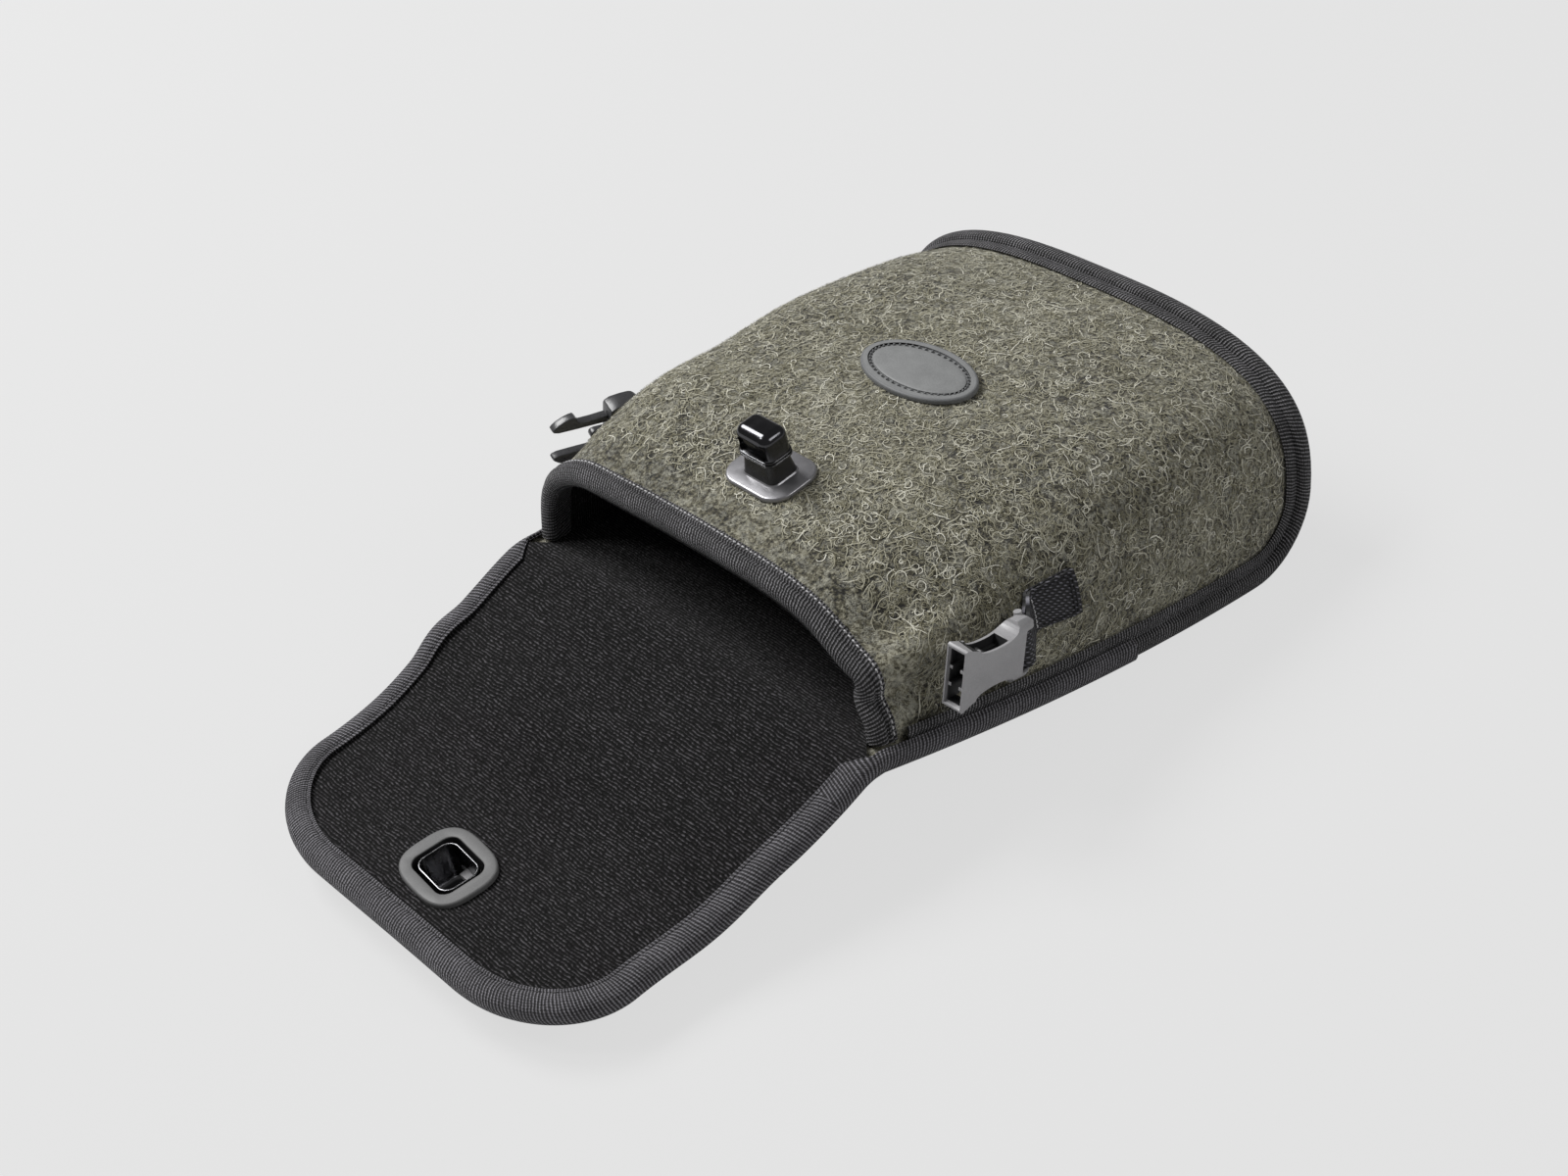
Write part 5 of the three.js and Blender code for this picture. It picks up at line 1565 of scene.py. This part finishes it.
# The faces inside the socket's chamber get a darker copy of the plastic as painted shade.
paint(socket, SOCKET_SEAT @ LEAN,
      lambda spot: abs(spot.y) < 2.7 and abs(spot.z) < 8.6 and -26 < spot.x < -9.2,
      ACETAL_WITH_PAINTED_LIGHT, ACETAL_INSIDE_PAINTED_SHADE)

# %% Fork of the buckle: cheeks round the bar, shoulder and guide
fork_side = [(1.6 - 2.6 + 2.6 * math.cos(t), 7.7 + 2.6 * math.sin(t))
             for t in np.linspace(0, math.pi / 2, 7)]
fork_side += [(-4.3, 10.3), (-7.4, 10.0), (-9.0, 9.2), (-9.4, 8.4)]
fork = plate("buckle_fork", fork_side + [(x, -y) for x, y in reversed(fork_side)], -4, 4)
cut_away(fork, side_profile(-10, 1.6, 3.3, 12), operation="INTERSECT")
loop_room = plate("loop_room", [(-3.5, -7.9), (5, -7.9), (5, 7.9), (-3.5, 7.9)], -4, 4)
cut_away(fork, loop_room)
soften(fork, 0.6, 3)
guide_outline = [(-8.4, -1.5), (-8.4, 1.5), (-13.4, 1.5), (-14.4, 1.3), (-15.0, 0.8), (-15.2, 0),
                 (-15.0, -0.8), (-14.4, -1.3), (-13.4, -1.5)]
guide = plate("guide", guide_outline, -1.5, 1.5)
round_edges(guide, 0.5, 3, lambda spot: abs(spot.z) > 1.4)
join_in(fork, bar(9), guide)
# The fork takes the darker copy of the same plastic, partly painted shade.
seat(fork, laid_flat(FORK_SEAT), "left_buckle_fork", body="left_fork", slot="buckle_plastic",
     material=DARK_ACETAL_WITH_PAINTED_SHADE)

# %% Prongs, one modelled and its mirror image made from it
PRONG_ROOTS = {"upper": (1, (-81.157, 10.187, 49.895)), "lower": (-1, (-83.072, 8.981, 39.130))}
barb = [(0, -1.2), (0, 1.2), (-5, 0.9), (-8.8, 0.9), (-9.7, 1.5), (-10.1, 2.8), (-10.7, 3.5),
        (-12.0, 3.4), (-14.0, 2.8), (-16.2, 1.7), (-17.5, 0.7), (-18.0, 0), (-17.6, -0.6),
        (-16.0, -1.1), (-11.0, -1.2)]
# The prongs take the fork's darker copy of the plastic, partly painted shade.
for level, (side, root) in PRONG_ROOTS.items():
    prong = plate("buckle_prong_" + level, [(x, -side * y) for x, y in barb], -1.6, 1.6)
    round_edges(prong, 0.45, 3, lambda spot: abs(spot.z) > 1.5)
    place = laid_flat(FORK_SEAT)
    place.translation = Vector(root) / 1000
    seat(prong, place, "left_buckle_prong_" + level, body="prong_" + level,
         slot="buckle_plastic", material=DARK_ACETAL_WITH_PAINTED_SHADE)

# %% [markdown]
# A tab of ribbed webbing is sewn to each side. It comes out of its box of stitches, loops
# once round the buckle's bar and goes back under itself.

# %% Webbing tabs
STRAP_WIDTH, WEBBING_THICK = 13.6, 1.1
FRONT_TREE = BVHTree.FromObject(front_felt, bpy.context.evaluated_depsgraph_get())


def tab_path():
    """Middle line of the webbing beside the bar, from the front end round to the back."""
    reach = 1.2 + WEBBING_THICK / 2
    path = [(x, -1.85 - 0.25 * bump(x, 14, 3) + 0.12 * math.sin(x))
            for x in np.linspace(23, 6.2, 16)]
    path += [(4.4, -1.3), (3.2, -0.35), (2.2, 0.75)]
    path += [(reach * math.cos(t), reach * math.sin(t)) for t in np.linspace(0.7, 4.3, 16)]
    path += [(0.6, -2.35), (2.4, -2.95)]
    path += [(x, -3.12) for x in np.linspace(4, 23, 16)]
    return np.array(path)


def tab_spot(x, y, share, start, lift):
    """The strap is skewed: it leaves its seam higher up and narrower than at the bar."""
    skew = float(ease(x, start, 7))
    rise = lift * (1 - skew) - (4.4 - 1.2 * (x - 6) / 17) * skew
    width = STRAP_WIDTH - 1.3 - 1.3 * skew + 2.0 * float(ease(x, 6, 23))
    return Vector((x, y, rise + share * width))


def on_wall(matrix, x, y, share, layer, bend):
    """A spot of the tab, laid on the felt where it is far enough from the bar."""
    spot = matrix @ tab_spot(x, y, share, *bend)
    way = (matrix.to_3x3() @ Vector((0, -1, 0))).normalized()
    hit = FRONT_TREE.ray_cast(spot - way * 0.02, way)[0]
    rest = hit - way * (layer / 1000)
    return spot.lerp(rest, float(ease(x, 3.6, 8.2)))


def webbing_tab(name, matrix, bend):
    """The tab's sheet in the axes of the buckle's bar, thickened on both sides."""
    path = tab_path()
    run = run_along(path)
    shares = np.linspace(-0.5, 0.5, 9)
    places, lengths = [], []
    for row, ((x, y), at) in enumerate(zip(path, run)):
        layer = 1.95 if row < len(path) / 2 else 0.7
        for share in shares:
            places.append(on_wall(matrix, x, y, share, layer, bend)[:])
            lengths.append((at, share * 13, 0))
    places = np.array(places)
    piece = mesh_object(name, places, grid_faces(len(path), len(shares)),
                        rest=places * 1000, along=lengths)
    apply_modifier(piece, "SOLIDIFY", thickness=WEBBING_THICK / 1000, offset=0,
                   use_even_offset=True)
    outward(piece)
    smooth(piece, 50)
    return piece


def untilted(matrix, degrees):
    """The bar's axes without the buckle's own angle about the bar."""
    return matrix @ Matrix.Rotation(math.radians(degrees), 4, "Z")


DARK_ROWS = ((21.6, 0, 1), (20.4, 0, 1), (0, -0.42, 1), (0, 0.42, 1))
for side, matrix, bend in (("right", untilted(SOCKET_SEAT, 5), (3.2, 1.6)),
                           ("left", untilted(FORK_SEAT, 22), (2.2, 0))):
    tab = webbing_tab("webbing_tab_" + side, matrix, bend)
    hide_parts(side + "_strap_tab")
    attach(tab, "pouch")
    cover(tab, WEBBING)
    up = np.array((matrix.to_3x3() @ Vector((0, 1, 0))).normalized()[:])
    for kind, rows, thread in (("dark", DARK_ROWS, DARK_THREAD),
                               ("pale", ((6.6, 0, 0.85),), PALE_THREAD)):
        places = []
        for x, share, reach in rows:
            if x:
                spots = [(x, t) for t in np.linspace(-0.45, 0.45, 30) * reach]
            else:
                spots = [(t, share) for t in np.linspace(9, 22, 30)]
            line = np.array([on_wall(matrix, a, 0, b, 2.7, bend)[:] for a, b in spots]) * 1000
            run = run_along(line)
            for at in np.arange(0.6, run[-1], 1.5):
                point = point_at(line, run, at)
                way = unit(point_at(line, run, at + 0.3) - point)
                places.append((point, way, unit(up - way * np.dot(up, way))))
        stitches = stitch_row(kind + "_tab_stitches_" + side, 1.15, 0.4, places, on_floor=True)
        cover(stitches, thread)
        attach(stitches, "pouch")

# %% [markdown]
# Curls of loose wool lie over the felt. Each is a short flat ribbon of a few faces that
# wanders over the cloth a little above its face, thousands to one mesh.

# %% Loose wool over the felt
def cloth_walker(grid):
    """Function from lengths along and across a cloth to places and directions on it."""
    runs_across = [run_along(row) for row in grid]
    widths = np.array([run[-1] for run in runs_across])
    even = np.stack([point_at(row, run, np.linspace(0, run[-1], 161)).T
                     for row, run in zip(grid, runs_across)])
    down = run_along(even[:, 80])

    def walk(v, u):
        row = np.interp(v, down, np.arange(len(down)))
        width = np.interp(row, np.arange(len(widths)), widths)
        column = np.clip(u / width + 0.5, 0, 1) * 160
        r, c = np.minimum(row.astype(int), len(down) - 2), np.minimum(column.astype(int), 159)
        fr, fc = (row - r)[..., None], (column - c)[..., None]
        return ((even[r, c] * (1 - fc) + even[r, c + 1] * fc) * (1 - fr)
                + (even[r + 1, c] * (1 - fc) + even[r + 1, c + 1] * fc) * fr)

    return walk, down[-1], widths


def loose_wool(name, grid, count, seed, margin, out, steps=6, lift=0.3, clear=None):
    """Curly ribbons over a cloth; out gives the side that the cloth faces."""
    rng = np.random.default_rng(seed)
    walk, length, widths = cloth_walker(grid)
    v = rng.uniform(margin, length - margin, count)
    width = np.interp(v / length * (len(widths) - 1), np.arange(len(widths)), widths)
    u = (rng.uniform(-0.5, 0.5, count)) * (width - 2 * margin)
    if clear:
        (mid_u, mid_v), (half_u, half_v) = clear
        free = (abs(u - mid_u) > half_u) | (abs(v - mid_v) > half_v)
        u, v, width, count = u[free], v[free], width[free], int(free.sum())
    heading = rng.uniform(0, 2 * math.pi, count)
    reach = rng.uniform(2.2, 7.5, count) / steps
    curl = rng.normal(0, 0.5, count) + rng.choice([-0.35, 0.35], count)
    us, vs = [u], [v]
    for _ in range(steps):
        heading = heading + curl + rng.normal(0, 0.25, count)
        us.append(us[-1] + np.cos(heading) * reach)
        vs.append(vs[-1] + np.sin(heading) * reach)
    us, vs = np.array(us), np.clip(np.array(vs), 0.5, length - 0.5)
    place = walk(vs, us)
    beside_u, beside_v = walk(vs, us + 0.5) - place, walk(vs + 0.5, us) - place
    normal = np.cross(beside_u, beside_v)
    normal /= np.linalg.norm(normal, axis=-1)[..., None] + 1e-9
    normal *= np.sign((normal * out(place)).sum(-1))[..., None]
    t = np.linspace(0, 1, steps + 1)[:, None]
    height = 0.08 + lift * rng.uniform(0.3, 1.3, count) * np.sin(math.pi * (0.15 + 0.7 * t))
    place = place + normal * height[..., None]
    tangent = np.gradient(place, axis=0)
    side = np.cross(normal, tangent)
    side /= np.linalg.norm(side, axis=-1)[..., None] + 1e-9
    half = (0.1 + 0.07 * rng.random(count)) * (1 - 0.5 * t)
    left, right = place + side * half[..., None], place - side * half[..., None]
    points = np.stack([left, right], 2).transpose(1, 0, 2, 3).reshape(-1, 3)
    shade = np.repeat(rng.beta(2.0, 1.6, count), 2 * (steps + 1))
    first = (np.arange(count) * 2 * (steps + 1))[:, None] + 2 * np.arange(steps)[None]
    faces = np.stack([first, first + 1, first + 3, first + 2], -1).reshape(-1, 4)
    piece = new_object(name, points, faces.tolist(), along=np.stack([shade] * 3, 1))
    cover(piece, LOOSE_WOOL)
    print(name, count, "curls")
    return piece


def from_axis(place):
    """Outward direction on the front: away from the pouch's inside."""
    return place * np.array([1, 0, 1]) - np.array([0, 0, 12.0]) + np.array([0, 0.25, 0])


def downwards(place):
    """Outward direction on back and flap: to the floor, and outwards at the closed end."""
    return np.stack([np.zeros(place.shape[:-1]), 0.2 + (place[..., 1] > LENGTH - 3) * 5.0,
                     -np.ones(place.shape[:-1])], -1)


front_wool = loose_wool("front_wool", front_grid[4:-2], 13500, 5, 5.5, from_axis)
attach(front_wool, "pouch")
flap_wool = loose_wool("flap_wool", flap_felt_grid, 3000, 7, 9, downwards,
                       clear=((0, FLAP_LENGTH - LOCK_AT), (22, 20)))
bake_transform(flap_wool)
back_wool = loose_wool("back_wool", felt_grid, 4500, 9, 9, downwards)
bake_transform(back_wool)

# %% [markdown]
# Tapes are sewn down with a lockstitch. Along the mouth the thread is pale and close; on
# the flap it is black and its stitches sink into the tape, which puckers between them.

# %% Stitches along the tapes
def places_along(spots, pitch, out, height, start=2.0):
    """Places of stitches at a pitch along an edge, at an offset out and up from it."""
    line = np.array([spot[0] + spot[2] * out + spot[1] * height for spot in spots])
    ups = np.array([spot[1] for spot in spots])
    run = run_along(line)
    found = []
    for at in np.arange(start, run[-1] - 1, pitch):
        point, up = point_at(line, run, at), point_at(ups, run, at)
        way = unit(point_at(line, run, at + 0.4) - point)
        found.append((point, way, unit(up - way * np.dot(up, way))))
    return found


mouth_stitches = stitch_row("mouth_stitches", 1.2, 0.55,
                            places_along(mouth_spots(), 1.75, MOUTH_EDGE - MOUTH_LEG + 0.95,
                                         MOUTH_TOP + 0.16))
cover(mouth_stitches, PALE_THREAD)
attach(mouth_stitches, "pouch")
sewn_out = FLAP_EDGE - FLAP_REACH - (FLAP_LEG - FLAP_REACH) * (1 - SEWN)
flap_stitches = stitch_row("flap_stitches", 1.9, 0.5,
                           places_along(edge_spots, STITCH_PITCH, sewn_out, FLAP_TOP + 0.06,
                                        0.0))
cover(flap_stitches, DARK_THREAD)
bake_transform(flap_stitches)
seam_stitches = stitch_row("seam_stitches", 1.7, 0.5,
                           places_along(both_sides(seam_spots()), 3.2, 1.66, 2.6 + 0.25, 3.0))
cover(seam_stitches, DARK_THREAD)
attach(seam_stitches, "pouch")

# %% [markdown]
# Every cloth piece was cut flat before it was bent and sewn. The flat sizes come from the
# lengths along and across its grid.

# %% Flat sizes of the cloths
def flat_of(grid):
    """Width, length and area of a grid of millimetre points, in metres."""
    across = np.array([run_along(row)[-1] for row in grid])
    down = run_along(grid[:, grid.shape[1] // 2])
    area = float((np.diff(down) * (across[1:] + across[:-1]) / 2).sum())
    return (float(across.max()) / 1000, float(down[-1]) / 1000), area / 1e6


def declare(piece, grid):
    flat, area = flat_of(grid)
    area = min(area, flat[0] * flat[1])
    print(f"{piece.name} flat {flat[0] * 1000:.0f} x {flat[1] * 1000:.0f} mm,",
          f"{area * 1e4:.0f} cm2")


declare(front_felt, front_grid)
declare(front_lining, lining_grid)
declare(back_felt, felt_grid)
declare(back_knit, knit_grid)
declare(flap_felt, flap_felt_grid)
declare(flap_knit, flap_knit_grid)
mouth_spots()
both_sides(seam_spots())
seam_path()
for side in ("right", "left"):
    tail_spots(1)[0]
    tab_run = float(run_along(tab_path())[-1]) / 1000

# %% Finishes of the remaining pieces
for names, material in ((("front_felt", "back_felt", "flap_felt"), FELT_WOOL),
                        (("front_knit", "back_knit", "flap_knit"), KNIT),
                        (("mouth_tape", "seam_tape"), BLACK_TAPE),
                        (("flap_tape_tail_right", "flap_tape_tail_left", "flap_tape"), GREY_TAPE),
                        # The latch slide takes the pale plastic that carries painted light.
                        (("latch_slide",), ACETAL_WITH_PAINTED_LIGHT),
                        (("lock_backing_plate", "lock_rivet_right", "lock_rivet_left"),
                         BRIGHT_STEEL)):
    for name in names:
        cover(bpy.data.objects[name], material)
